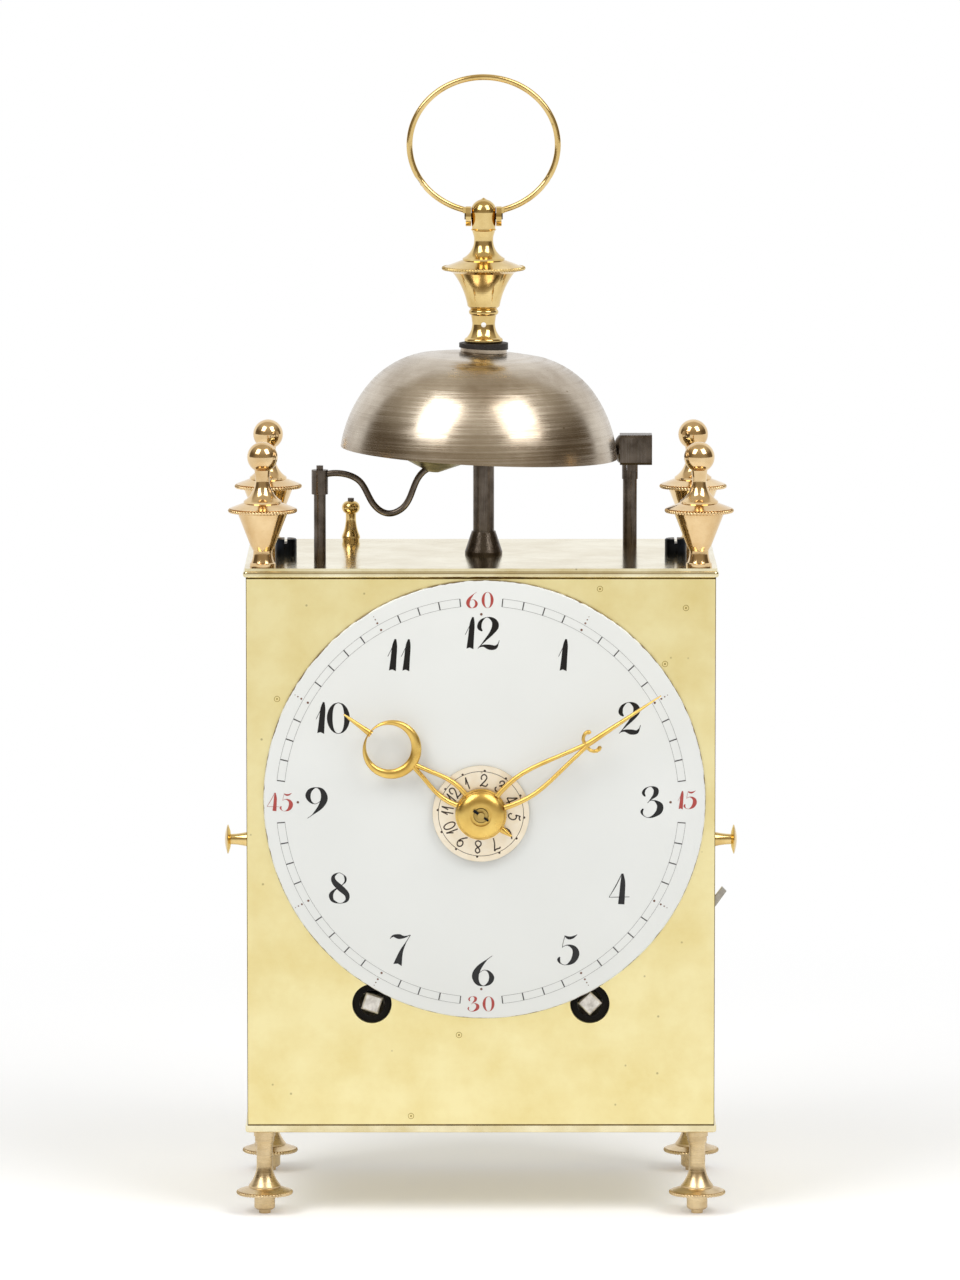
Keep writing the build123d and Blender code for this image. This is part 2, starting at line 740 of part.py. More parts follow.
def make_rating_nut():
    bead_z = rating_height - rating_bead_h / 2
    bead_low = rating_height - rating_bead_h
    bead_top_r = suspension_rod_r + 0.3
    nut = lathe((0, 0), (rating_base_r - 0.25, 0), (rating_base_r - 0.25, 0.7), (rating_base_r, 0.9),
                (rating_base_r - 0.1, 1.5), ((rating_neck_r + 0.25, bead_low / 2), (rating_neck_r, bead_low)),
                ((rating_bead_r, bead_z), (bead_top_r, rating_height)), (0, rating_height))
    nut -= rod(suspension_rod_r + running_clearance, -1, rating_height + 1)
    return Pos(escape_x, rating_y, top_z) * nut


def make_suspension_rod():
    """The threaded rod under the rating nut, with the fixed end of the suspension spring in it."""
    stem = rod(suspension_rod_r, suspension_rod_low, top_z + rating_height + suspension_rod_proud)
    stem += slab(-spring_t / 2, spring_t / 2, -spring_w / 2, spring_w / 2, pendulum_bend_z, suspension_rod_low + 1)
    return Pos(escape_x, rating_y, 0) * stem


# Dial and hands. Heights p stand out from the front plate's face.

dial_sphere_r = (dial_r ** 2 + dial_dome ** 2) / (2 * dial_dome)
dial_crown = dial_rim_t + dial_dome
alarm_p = dial_crown + 0.35
hour_p = alarm_p + alarm_disc_t + hand_gap
minute_p = hour_p + hour_collet_t + hand_gap
arbor_p = minute_p + minute_collet_t + 0.6


def dome_p(r):
    return dial_crown - (dial_sphere_r - sqrt(dial_sphere_r ** 2 - r ** 2))


def make_dial():
    rim = dial_r - 0.5
    inner = dial_r - 1.6
    plate = lathe((dial_hole_r, dome_p(dial_hole_r) - dial_t), (dial_hole_r, dome_p(dial_hole_r)),
                  ((rim / 2, dome_p(rim / 2)), (rim, dome_p(rim))),
                  ((dial_r - 0.12, dome_p(rim) - 0.25), (dial_r, dome_p(rim) - 0.7)), (dial_r, 0), (inner, 0),
                  ((inner / 2, dome_p(inner / 2) - dial_t), (dial_hole_r, dome_p(dial_hole_r) - dial_t)))
    for x, z in dial_feet():
        depth = dome_p(hypot(x - dial_x, z - dial_z)) - dial_t / 2
        plate += Pos(x - dial_x, z - dial_z, 0) * rod(dial_foot_r, -front_plate_t - dial_foot_tail, depth)
        plate -= Pos(x - dial_x, z - dial_z, -front_plate_t - dial_pin_drop) * Rot(0, 90, 0) * rod(
            dial_pin_r + fit_clearance, -3, 3)
    return facing(plate, dial_x, front_y, dial_z)


def make_dial_pins():
    pins = []
    for x, z in dial_feet():
        pin = Pos(x - 3.5, front_y + front_plate_t + dial_pin_drop, z) * Rot(0, 90, 0) * Cone(
            dial_pin_r * 0.75, dial_pin_r, 7.0, align=(Align.CENTER, Align.CENTER, Align.MIN))
        pins.append(pin)
    return pins


def make_alarm_disc():
    disc = rod(alarm_disc_r, 0, alarm_disc_t)
    disc += rod(alarm_pipe_r, -5.0, 0)
    disc -= rod(hour_pipe_r + running_clearance, -6, 5)
    return facing(disc, 0, front_y - alarm_p, hand_z)


def leaf(points):
    """A flat leaf between two smooth curves, mirrored about the hand's own line (+Y)."""
    right = Spline([(x, y) for x, y in points])
    left = Spline([(-x, y) for x, y in points])
    return raised(make_face([right, left]), hand_t)


def blade(*points):
    """A flat tapering blade about the hand's own line, from (half width, distance) pairs."""
    return raised(polygon([(x, y) for x, y in points] + [(-x, y) for x, y in reversed(points)]), hand_t)


def make_hour_hand():
    ring_at = 30.4
    fork = leaf([(0, 25.0), (1.6, 18.5), (3.35, 11.5), (2.6, 7.2), (0, 4.0)])
    fork -= leaf([(0, 19.5), (1.0, 15.0), (1.9, 11.2), (1.2, 7.8), (0, 6.6)])
    crescent = Pos(0, ring_at, 0) * rod(8.0, 0, hand_t)
    hand = fork + blade((1.0, 20.5), (1.4, 25.0)) + crescent
    hand -= Pos(0, ring_at + 1.25, 0) * rod(6.35, -1, hand_t + 1)
    hand += blade((0.9, ring_at + 7.4), (0.55, hour_hand_length - 4.5), (0.12, hour_hand_length))
    hand += raised(polygon([(-1.3, -6.0), (-0.3, -10.4), (0.3, -10.4), (1.3, -6.0)]), hand_t)
    collet = lathe((0, 0), (hour_collet_r, 0), (hour_collet_r, 0.9), (hour_collet_r - 0.4, hour_collet_t),
                   (0, hour_collet_t))
    hand = hand + collet - rod(hour_pipe_r + 0.001, -1, 9)
    return facing(Rot(0, 0, -hour_hand_angle) * hand, 0, front_y - hour_p, hand_z)


def make_minute_hand():
    fork = leaf([(0, 37.8), (1.5, 31.0), (3.0, 24.0), (3.95, 16.0), (3.1, 8.6), (0, 4.0)])
    fork -= leaf([(0, 34.0), (1.0, 27.5), (2.0, 21.0), (2.65, 15.5), (1.9, 9.6), (0, 7.0)])
    hand = fork + blade((0.85, 34.6), (0.85, 36.0), (0.6, 48.0), (0.15, minute_hand_length))
    for side in (-1, 1):
        curl = Pos(side * 2.3, 37.1, 0) * rod(1.25, 0, hand_t, 0.5)
        neck = polygon([(side * 0.3, 35.2), (side * 2.2, 35.7), (side * 2.4, 36.4), (side * 0.3, 37.4)])
        hand = hand + raised(neck, hand_t) + curl
    collet = lathe((0, 0), (minute_collet_r, 0), (minute_collet_r, 0.5),
                   ((minute_collet_r * 0.8, 1.75), (minute_recess_r + 0.4, minute_collet_t)),
                   (minute_recess_r, minute_collet_t), (minute_recess_r, 1.0), (0, 1.0))
    hand = hand + collet - rod(cannon_r + 0.001, -1, 9)
    return facing(Rot(0, 0, -minute_hand_angle) * hand, 0, front_y - minute_p, hand_z)


def make_hand_pin():
    pin = Rot(0, 90, 0) * Cone(hand_pin_r, hand_pin_r * 0.7, hand_pin_length)
    return Pos(0, front_y - minute_p - 1.75, hand_z) * Rot(0, 35, 0) * pin


cannon_front = front_y - minute_p - 1.2
cannon_back = frame_front_y - 0.4
cannon_gear_y = frame_front_y - 1.2


def make_cannon_pinion():
    phase = towards(centre, minute_arbor)
    gear = facing(raised(toothed(cannon_teeth, cannon_module, phase), 2.4), 0, cannon_gear_y, hand_z)
    pipe = bar_y(0, hand_z, cannon_gear_y + 0.5, cannon_front, cannon_r)
    return gear + pipe - bar_y(0, hand_z, 0, -70, arbor_end_r + running_clearance)


minute_wheel_y = cannon_gear_y - 0.4


def make_minute_wheel():
    phase = towards(minute_arbor, centre) + 180 / minute_teeth
    disc = wheel(minute_teeth, cannon_module, phase, 1.4, 4.0, 1.0 + running_clearance, 4)
    pinion_phase = towards(minute_arbor, centre)
    pinion = Pos(0, 0, 1.4) * raised(toothed(minute_pinion_teeth, hour_module, pinion_phase), 2.6)
    gear = disc + pinion - rod(1.0 + running_clearance, -1, 9)
    return facing(gear, minute_arbor[0], minute_wheel_y, minute_arbor[1])


hour_wheel_y = minute_wheel_y - 2.0


def make_hour_wheel():
    phase = towards(centre, minute_arbor) + 180 / hour_teeth
    gear = facing(wheel(hour_teeth, hour_module, phase, 1.4, 5.0, cannon_r + running_clearance, 4),
                  0, hour_wheel_y, hand_z)
    pipe = bar_y(0, hand_z, hour_wheel_y, front_y - hour_p - hour_collet_t, hour_pipe_r,
                 cannon_r + running_clearance)
    return gear + pipe


def minute_stud():
    """The stud that the minute wheel turns on, riveted in the front movement plate."""
    x, z = minute_arbor
    stud = bar_y(x, z, frame_front_y + 1.0, minute_wheel_y - 5.0, 1.0)
    return stud + bar_y(x, z, minute_wheel_y - 4.15, minute_wheel_y - 5.0, 1.7)


# Movement frame

pillar_x = screw_x
pillar_low = body_z + pillar_r
pillar_high = body_top - pillar_r


def arbor_bores():
    """Pivot holes as (x, z, hole radius in the front plate, hole radius in the rear plate)."""
    small = pivot_r + running_clearance
    full = arbor_r + running_clearance
    winding = winding_arbor_r + running_clearance
    return [(going[0], going[1], winding, small), (striking[0], striking[1], winding, small),
            (centre[0], centre[1], arbor_end_r + running_clearance, small),
            (second[0], second[1], small, small), (third[0], third[1], small, small),
            (escape[0], escape[1], small, small), (pallets[0], pallets[1], small, full),
            (pin_wheel[0], pin_wheel[1], small, small), (warning[0], warning[1], small, small),
            (fly[0], fly[1], small, small), (alarm_x, alarm_wheel_z, 0, small)]


def frame_plate(front):
    back = inside_front if front else frame_rear_y + frame_plate_t
    plate = slab(-frame_half_width, frame_half_width, back - frame_plate_t, back, frame_low, frame_high)
    for x, z, front_r, rear_r in arbor_bores():
        bore_r = front_r if front else rear_r
        if bore_r > 0:
            plate -= bar_y(x, z, back + 1, back - frame_plate_t - 1, bore_r)
    for x, z in pillar_places():
        plate -= bar_y(x, z, back + 1, back - frame_plate_t - 1, pillar_tenon_r + fit_clearance)
    return plate


def pillar_places():
    return [(sx * pillar_x, z) for sx in (-1, 1) for z in (pillar_low, pillar_high)]


def make_front_movement_plate():
    plate = frame_plate(True) + minute_stud()
    for cx in (going[0], striking[0]):
        plate -= bar_y(cx + click_x, winding_z + click_z, 0, -30, 1.0 + fit_clearance)
    plate -= bar_y(lever_pivot_x, lever_pivot_z, 0, -30, 1.2 + fit_clearance)
    return plate


def make_rear_movement_plate():
    plate = frame_plate(False)
    x = strike_x
    plate -= slab(x - tail_half - 0.6, x + 6.5, 0, 40, tail_z - 1.6, tail_z + 1.6)
    return plate


def make_pillars():
    pillars = []
    for x, z in pillar_places():
        belly = frame_inside / 2
        pillar = lathe((0, -frame_plate_t - pillar_nut_t), (pillar_tenon_r, -frame_plate_t - pillar_nut_t),
                       (pillar_tenon_r, 0), (pillar_r, 0), (pillar_r, 2.5), (pillar_r - 1.2, 3.2),
                       ((pillar_r - 0.9, belly * 0.55), (pillar_r, belly - 3)),
                       (pillar_r, belly + 3), ((pillar_r - 0.9, belly * 1.45), (pillar_r - 1.2, frame_inside - 3.2)),
                       (pillar_r, frame_inside - 2.5), (pillar_r, frame_inside), (pillar_tenon_r, frame_inside),
                       (pillar_tenon_r, frame_inside + frame_plate_t + pillar_nut_t),
                       (0, frame_inside + frame_plate_t + pillar_nut_t))
        pillar = facing(pillar, x, inside_rear, z)
        if z > (body_z + body_top) / 2:
            pillar -= Pos(x, 0, 0) * rod(screw_shank_r + fit_clearance, body_top - 6.2, body_top + 1)
        pillars.append(pillar)
    return pillars


def make_pillar_nuts():
    nuts = []
    for x, z in pillar_places():
        for back in (frame_front_y, frame_rear_y + frame_plate_t + pillar_nut_t):
            nut = facing(rod(pillar_r - 0.3, 0, pillar_nut_t, pillar_tenon_r + fit_clearance), x, back, z)
            nuts.append(nut)
    return nuts


# Going train and striking train

def arbor(place, front_end=None, rear_end=None):
    """A steel arbor between the plates, with its two pivots."""
    x, z = place
    front = inside_front + end_shake
    rear = inside_rear - end_shake
    body = bar_y(x, z, rear, front, arbor_r)
    body += bar_y(x, z, rear_end if rear_end is not None else rear + frame_plate_t, rear, pivot_r)
    body += bar_y(x, z, front, front_end if front_end is not None else front - frame_plate_t, pivot_r)
    return body


def pinion(place, teeth, module, phase, back, length):
    return facing(raised(toothed(teeth, module, phase), length), place[0], back, place[1])


great_y = inside_front + 4.2
drum_back = great_y + barrel_length
great_second_y = drum_back + 4.6
pin_wheel_y = drum_back + 2.6
centre_wheel_y = great_y
third_wheel_y = drum_back - 1.5
escape_wheel_y = great_second_y
warning_wheel_y = inside_front + 10.5
crutch_y = frame_rear_y + frame_plate_t + 2.6


def make_barrel(place, next_place):
    phase = towards(place, next_place)
    gear = raised(toothed(great_teeth, great_module, phase), wheel_t)
    gear = facing(gear, place[0], great_y, place[1])
    drum = bar_y(place[0], place[1], drum_back, great_y, barrel_r)
    lid = bar_y(place[0], place[1], drum_back + 0.8, drum_back, barrel_r - 1.5)
    bore = bar_y(place[0], place[1], drum_back + 2, great_y - 3, winding_arbor_r + running_clearance)
    return gear + drum + lid - bore


def make_winding_arbor(place, turn):
    x, z = place
    front = front_y + 0.5
    body = bar_y(x, z, drum_back + 2.5, frame_front_y - ratchet_t - 0.8, winding_arbor_r)
    body += bar_y(x, z, inside_rear - end_shake, drum_back + 2.5, arbor_r)
    body += bar_y(x, z, inside_rear + frame_plate_t - end_shake, inside_rear - end_shake, pivot_r)
    square = facing(raised(Rectangle(winding_square, winding_square), frame_front_y - ratchet_t - 0.8 - front), 0, 0, 0)
    square = chamfer(square.faces().sort_by(Axis.Y)[0].edges(), 0.4)
    body += Pos(x, frame_front_y - ratchet_t - 0.8, z) * Rot(0, turn, 0) * square
    return body + ratchet(place)


def ratchet(place):
    """A saw-toothed wheel that turns clockwise past its click as the clock is wound."""
    points = []
    for k in range(ratchet_teeth):
        start = 2 * pi * k / ratchet_teeth
        points.append((ratchet_r * cos(start), ratchet_r * sin(start)))
        points.append(((ratchet_r - ratchet_depth) * cos(start + 0.02), (ratchet_r - ratchet_depth) * sin(start + 0.02)))
    return facing(raised(polygon(points), ratchet_t), place[0], frame_front_y - 0.4, place[1])


def make_clicks():
    """Two clicks that ride on the tips of the ratchet teeth, each on its own screw."""
    clicks = []
    for place in (going, striking):
        beak_x = -(ratchet_r + 0.12) * cos(radians(18))
        body = polygon([(click_x - 2.2, click_z + 1.2), (click_x + 1.8, click_z + 1.6),
                        (beak_x - 0.1, 2.2), (beak_x - 0.6, -1.0), (click_x - 0.5, click_z - 3.5)])
        plate = raised(body, ratchet_t)
        plate -= Pos(click_x, click_z, 0) * rod(1.0 + fit_clearance, -1, 9)
        clicks.append(facing(plate, place[0], frame_front_y - 0.4, place[1]))
    return clicks


def make_click_screws():
    screws = []
    for place in (going, striking):
        x, z = place[0] + click_x, place[1] + click_z
        screw = bar_y(x, z, frame_front_y + 1.8, frame_front_y - 0.4 - ratchet_t - 0.1, 1.0)
        screw += bar_y(x, z, frame_front_y - 0.5 - ratchet_t, frame_front_y - 1.4 - ratchet_t, 2.0)
        screws.append(screw)
    return screws


def make_second_wheel():
    body = arbor(second)
    meshing = towards(second, going) + 180 / second_pinion_teeth
    body += pinion(second, second_pinion_teeth, great_module, meshing, great_y + 0.6, 3.2)
    gear = wheel(second_teeth, second_module, towards(second, centre), wheel_t, 5.0, arbor_r - 0.01)
    return body + facing(gear, second[0], great_second_y + wheel_t, second[1])


def make_centre_wheel():
    x, z = centre
    body = bar_y(x, z, inside_rear - end_shake, inside_front + end_shake, arbor_r)
    body += bar_y(x, z, inside_rear + frame_plate_t - end_shake, inside_rear - end_shake, pivot_r)
    body += bar_y(x, z, inside_front + end_shake, front_y - arbor_p, arbor_end_r)
    body -= Pos(0, front_y - minute_p - 1.75, hand_z) * Rot(0, 35, 0) * Rot(0, 90, 0) * rod(
        hand_pin_r + fit_clearance, -4, 4)
    body += pinion(centre, centre_pinion_teeth, second_module,
                   towards(centre, second) + 180 / centre_pinion_teeth, great_second_y + wheel_t + 0.6, 3.0)
    gear = wheel(centre_teeth, centre_module, towards(centre, third), wheel_t, 5.0, arbor_r - 0.01)
    return body + facing(gear, x, centre_wheel_y, z)


def make_third_wheel():
    body = arbor(third)
    body += pinion(third, third_pinion_teeth, centre_module,
                   towards(third, centre) + 180 / third_pinion_teeth, centre_wheel_y + 0.6, 3.0)
    gear = wheel(third_teeth, third_module, towards(third, escape), wheel_t, 4.5, arbor_r - 0.01, 4)
    return body + facing(gear, third[0], third_wheel_y + wheel_t, third[1])


def make_escape_wheel():
    body = arbor(escape)
    body += pinion(escape, escape_pinion_teeth, third_module,
                   towards(escape, third) + 180 / escape_pinion_teeth, third_wheel_y + wheel_t + 0.6, 3.0)
    points = []
    step = 2 * pi / escape_teeth
    for k in range(escape_teeth):
        tip = radians(45) + step * (k + 0.25)
        for radius, shift in ((escape_r - 2.6, -0.15), (escape_r, -0.04), (escape_r, 0.04), (escape_r - 2.6, 0.55)):
            points.append((radius * cos(tip + shift * step), radius * sin(tip + shift * step)))
    face = crossed(polygon(points), 3.5, escape_r - 4.2, 4, 1.4)
    gear = raised(face, 1.2) - rod(arbor_r - 0.01, -1, 9)
    return body + facing(gear, escape[0], escape_wheel_y + 1.2, escape[1])


def make_pallets():
    """The anchor over the escape wheel and the crutch behind the rear plate."""
    x, z = pallets
    reach = pallet_reach
    nose_r = escape_r + pallet_clearance
    nose = nose_r * sin(radians(45))
    drop = reach - nose
    anchor = polygon([(-2.2, 2.2), (2.2, 2.2), (6.5, -1.0), (nose + 0.9, -drop + 0.9), (nose - 0.0, -drop),
                      (nose - 0.55, -drop + 0.75), (4.6, -3.0), (1.8, -1.8), (-1.8, -1.8), (-4.6, -3.0),
                      (-nose + 0.55, -drop + 0.75), (-nose, -drop), (-nose - 0.9, -drop + 0.9), (-6.5, -1.0)])
    body = facing(raised(anchor, 2.0), x, escape_wheel_y + 1.6, z)
    body += bar_y(x, z, crutch_y, inside_front + end_shake, arbor_r)
    body += bar_y(x, z, inside_front + end_shake, inside_front - frame_plate_t + end_shake, pivot_r)
    body += facing(rod(2.4, 0, 1.5), x, crutch_y, z)
    body += slab(x - 0.7, x + 0.7, crutch_y - 1.2, crutch_y, z - crutch_drop, z)
    fork_y = rating_y + 1.2
    for sx in (-1, 1):
        low, high = sorted((x + sx * (pendulum_rod_r + 0.25), x + sx * (pendulum_rod_r + 1.0)))
        body += slab(low, high, crutch_y - 1.2, fork_y, z - crutch_drop - 0.8, z - crutch_drop + 0.8)
    return body + slab(x - pendulum_rod_r - 1.0, x + pendulum_rod_r + 1.0, crutch_y - 1.2, crutch_y,
                       z - crutch_drop - 0.8, z - crutch_drop + 0.8)


def make_pendulum():
    """The free end of the spring, with the block, rod, lens-shaped bob and its nut that hang from it."""
    bob_z = pendulum_low + pendulum_bob_r + 5.0
    block_low = pendulum_bend_z - 9.0
    stem = rod(pendulum_rod_r, pendulum_low, block_low + 1.0)
    stem += slab(-1.6, 1.6, -spring_w / 2, spring_w / 2, block_low, block_low + 3.0)
    stem += slab(-spring_t / 2, spring_t / 2, -spring_w / 2, spring_w / 2, block_low + 2.0,
                 pendulum_bend_z - fit_clearance)
    half = pendulum_bob_t / 2
    lens = lathe((0, -half), cup(pendulum_bob_r, -half, -0.3), (pendulum_bob_r, 0.3), cap(pendulum_bob_r, 0.3, half))
    stem += Pos(0, 0, bob_z) * Rot(90, 0, 0) * lens
    stem += rod(1.9, bob_z - pendulum_bob_r - 2.2, bob_z - pendulum_bob_r + 0.2)
    return Pos(escape_x, rating_y, 0) * stem


def make_pin_wheel():
    body = arbor(pin_wheel)
    meshing = towards(pin_wheel, striking) + 180 / second_pinion_teeth
    body += pinion(pin_wheel, second_pinion_teeth, great_module, meshing, great_y + 0.6, 3.2)
    gear = wheel(centre_teeth, centre_module, towards(pin_wheel, warning), wheel_t, 5.0, arbor_r - 0.01)
    body += facing(gear, pin_wheel[0], pin_wheel_y + wheel_t, pin_wheel[1])
    for k in range(strike_pins):
        angle = radians(strike_pin_phase + 360 * k / strike_pins)
        x = pin_wheel[0] + strike_pin_pitch_r * sin(angle)
        z = pin_wheel[1] + strike_pin_pitch_r * cos(angle)
        body += bar_y(x, z, pin_wheel_y + wheel_t + 3.0, pin_wheel_y + 0.5, strike_pin_r)
    return body


strike_pin_pitch_r = (centre_teeth / 2 - 2.2) * centre_module - 0.2
strike_pin_dx = strike_x - tail_half - strike_pin_r - 0.1 - pin_wheel[0]
strike_pin_phase = degrees(asin(strike_pin_dx / strike_pin_pitch_r))
tail_z = pin_wheel[1] + sqrt(strike_pin_pitch_r ** 2 - strike_pin_dx ** 2)


def make_warning_wheel():
    body = arbor(warning)
    body += pinion(warning, third_pinion_teeth, centre_module,
                   towards(warning, pin_wheel) + 180 / third_pinion_teeth, pin_wheel_y + wheel_t + 0.6, 3.0)
    gear = wheel(warning_teeth, warning_module, towards(warning, fly), wheel_t, 4.5, arbor_r - 0.01, 4)
    return body + facing(gear, warning[0], warning_wheel_y + wheel_t, warning[1])


def make_fly():
    body = arbor(fly)
    body += pinion(fly, escape_pinion_teeth, warning_module,
                   towards(fly, warning) + 180 / escape_pinion_teeth, warning_wheel_y + wheel_t + 0.6, 3.0)
    vane_low = warning_wheel_y + wheel_t + 2.0
    vane = slab(-fly_half_width, fly_half_width, vane_low, vane_low + fly_length, -0.3, 0.3)
    return body + Pos(fly[0], 0, fly[1]) * Rot(0, 25, 0) * vane


# Hammers

def make_strike_hammer():
    """Upright arbor, its tail to the pin wheel, and the arm to the head beside the bell."""
    top = top_z + strike_collar_z + strike_collar_h
    body = lathe((0, strike_low), (1.0, strike_low), (1.0, strike_low + 3.0), (strike_arbor_r, strike_low + 3.0),
                 (strike_arbor_r, top - strike_collar_h), (strike_collar_r, top - strike_collar_h),
                 (strike_collar_r, top), (1.2, top), (1.2, top + 1.0), (0, top + 1.0))
    body = Pos(strike_x, strike_y, 0) * body
    pins_y = pin_wheel_y + wheel_t + 1.2
    body += slab(strike_x - tail_half, strike_x + tail_half, pins_y, strike_y, tail_z - 0.8, tail_z + 0.8)
    arm_low = top - strike_arm_h
    body += slab(strike_x - 1.1, strike_x + 1.1, strike_head_y, strike_y, arm_low, top - 0.2)
    return body + strike_head()


def strike_face_x():
    """Where the hammer's face stands, just clear of the leaning bell's rim."""
    reach = bell_rim_r * cos(radians(bell_lean)) - bell_height * sin(radians(bell_lean))
    return bell_x + sqrt(reach ** 2 - strike_head_y ** 2) + strike_bell_gap


def strike_head():
    """The block beside the bell, with its domed striking face."""
    low = top_z + strike_collar_z + strike_collar_h - 0.2
    face_x = strike_face_x()
    block_x = face_x + 1.9
    block = slab(block_x, face_x + strike_head_t, strike_head_y - strike_head_h / 2,
                 strike_head_y + strike_head_h / 2, low, low + strike_head_h)
    block = chamfer(block.edges().filter_by(Axis.X), 0.7)
    nose = Pos(block_x, strike_head_y, low + strike_head_h / 2) * Rot(0, -90, 0) * lathe(
        (0, 0), (strike_head_h / 2 - 0.3, 0), (strike_head_h / 2 - 0.3, 0.3),
        cap(strike_head_h / 2 - 0.3, 0.3, 1.9))
    return block + nose


def make_alarm_hammer():
    """The alarm's upright verge with its two pallets, collar and bent arm."""
    top = top_z + alarm_collar_z + alarm_collar_h
    body = lathe((0, alarm_low), (pivot_r, alarm_low), (pivot_r, alarm_low + 2.5), (alarm_arbor_r, alarm_low + 2.5),
                 (alarm_arbor_r, top - alarm_collar_h), (alarm_collar_r, top - alarm_collar_h),
                 (alarm_collar_r, top), (0.95, top), (0.95, top + 1.2), (0, top + 1.2))
    body = Pos(alarm_x, alarm_y, 0) * body
    for side, turn in ((-1, -35), (1, 35)):
        z = alarm_wheel_z + side * (alarm_wheel_r - 0.8)
        flag = slab(0, 0.8, 0, verge_flag, z - 1.3, z + 1.3)
        body += Pos(alarm_x, alarm_y, 0) * Rot(0, 0, turn) * flag
    return body + make_alarm_arm()


def make_alarm_arm():
    """A round wire bent down under the bell's rim and up again to the head."""
    line = Spline([(x, 0, z) for x, z in arm_points])
    section = Plane(origin=line @ 0, z_dir=line % 0) * Circle(alarm_arm_r)
    arm = sweep(section, path=line)
    return Pos(alarm_x, alarm_y, top_z) * Rot(0, 0, alarm_arm_turn) * arm


def make_alarm_head():
    """A lens-shaped bronze head inside the bell."""
    r = alarm_head_r
    head = lathe((0, 0), (r * 0.18, 0.1), (r, 3.4), (r, 6.0), cap(r, 6.0, 8.8))
    head = Pos(alarm_x, alarm_y, top_z + alarm_head_z) * Rot(0, 0, alarm_arm_turn) * Pos(alarm_head_x, 0, 0) * Rot(
        0, 5, 0) * head
    return head - make_alarm_arm()


def make_alarm_wheel():
    """The alarm's crown wheel on its arbor, with the drum for its cord."""
    x, z = alarm_x, alarm_wheel_z
    front = alarm_y + alarm_arbor_r + 0.8
    disc_front = front + 2.8
    teeth = 15
    blank = rod(alarm_wheel_r, 0, 1.2)
    crown_ring = rod(alarm_wheel_r, 0, 4.0, alarm_wheel_r - 0.9)
    for k in range(teeth):
        notch = Rot(0, 0, 360 * k / teeth) * slab(-0.9, 0.9, 0, 12, 2.0, 9)
        crown_ring -= notch
    gear = facing(blank + crown_ring, x, disc_front + 1.2, z)
    body = bar_y(x, z, inside_rear - end_shake, disc_front, arbor_r)
    body += bar_y(x, z, inside_rear + frame_plate_t - end_shake, inside_rear - end_shake, pivot_r)
    body += bar_y(x, z, disc_front + 10.0, disc_front + 5.0, 6.0)
    body += bar_y(x, z, disc_front + 5.5, disc_front + 4.5, 7.5)
    body += bar_y(x, z, disc_front + 10.5, disc_front + 9.5, 7.5)
    return gear + body


def make_alarm_cock():
    """Bottom bearing of the alarm's verge, riveted to the front plate."""
    cock = slab(alarm_x - 3, alarm_x + 3, inside_front, alarm_y + 3, alarm_low - 1.2, alarm_low + 1.8)
    cock += slab(alarm_x - 3, alarm_x + 3, inside_front, inside_front + 1.5, alarm_low - 6, alarm_low + 1.8)
    return cock - Pos(alarm_x, alarm_y, 0) * rod(pivot_r + running_clearance, alarm_low - 0.2, alarm_low + 3)


def make_hammer_cock():
    """Bottom bearing of the strike hammer's arbor, on the rear plate."""
    back = frame_rear_y + frame_plate_t
    cock = slab(strike_x - 4, strike_x + 4, back, strike_y + 4, strike_low - 1.5, strike_low + 2.4)
    cock += slab(strike_x - 4, strike_x + 4, back, back + 1.6, strike_low - 8, strike_low + 2.4)
    return cock - Pos(strike_x, strike_y, 0) * rod(1.0 + running_clearance, strike_low - 0.1, strike_low + 3)


# Repeat lever

def make_repeat_lever():
    """A flat steel lever in front of the movement, with a hook outside the right side."""
    blade = polygon([(-3.0, -3.0), (3.0, -3.0), (23.5, 1.6), (25.4, 2.7), (28.4, 6.9), (27.2, 8.1), (25.3, 5.6),
                     (24.2, 4.6), (23.2, 6.4), (3.0, 3.0), (-3.0, 3.0), (-16.0, 5.0), (-16.6, 3.2)])
    lever = raised(blade + Circle(4.0), lever_t)
    lever -= rod(1.2 + running_clearance, -1, 9)
    return facing(lever, lever_pivot_x, lever_y, lever_pivot_z)


def make_lever_screw():
    screw = bar_y(lever_pivot_x, lever_pivot_z, frame_front_y + 1.8, lever_y - lever_t - 0.15, 1.2)
    screw += bar_y(lever_pivot_x, lever_pivot_z, frame_front_y, lever_y + 0.15, 2.4)
    return screw + bar_y(lever_pivot_x, lever_pivot_z, lever_y - lever_t - 0.1, lever_y - lever_t - 1.3, 2.6)


reach_front = front_y - arbor_p
reach_rear = corner_y + finial_disc_r
shift_y = -(reach_front + reach_rear) / 2


def export(name, shape):
    """Writes one node: a single solid, or a group of separate ones."""
    solids = []
    for item in shape if isinstance(shape, list) else [shape]:
        solids += [Pos(0, shift_y, 0) * solid for solid in item.solids()]
    body = solids[0] if len(solids) == 1 else Compound(children=solids)
    export_step(body, f"parts/{name}.step")


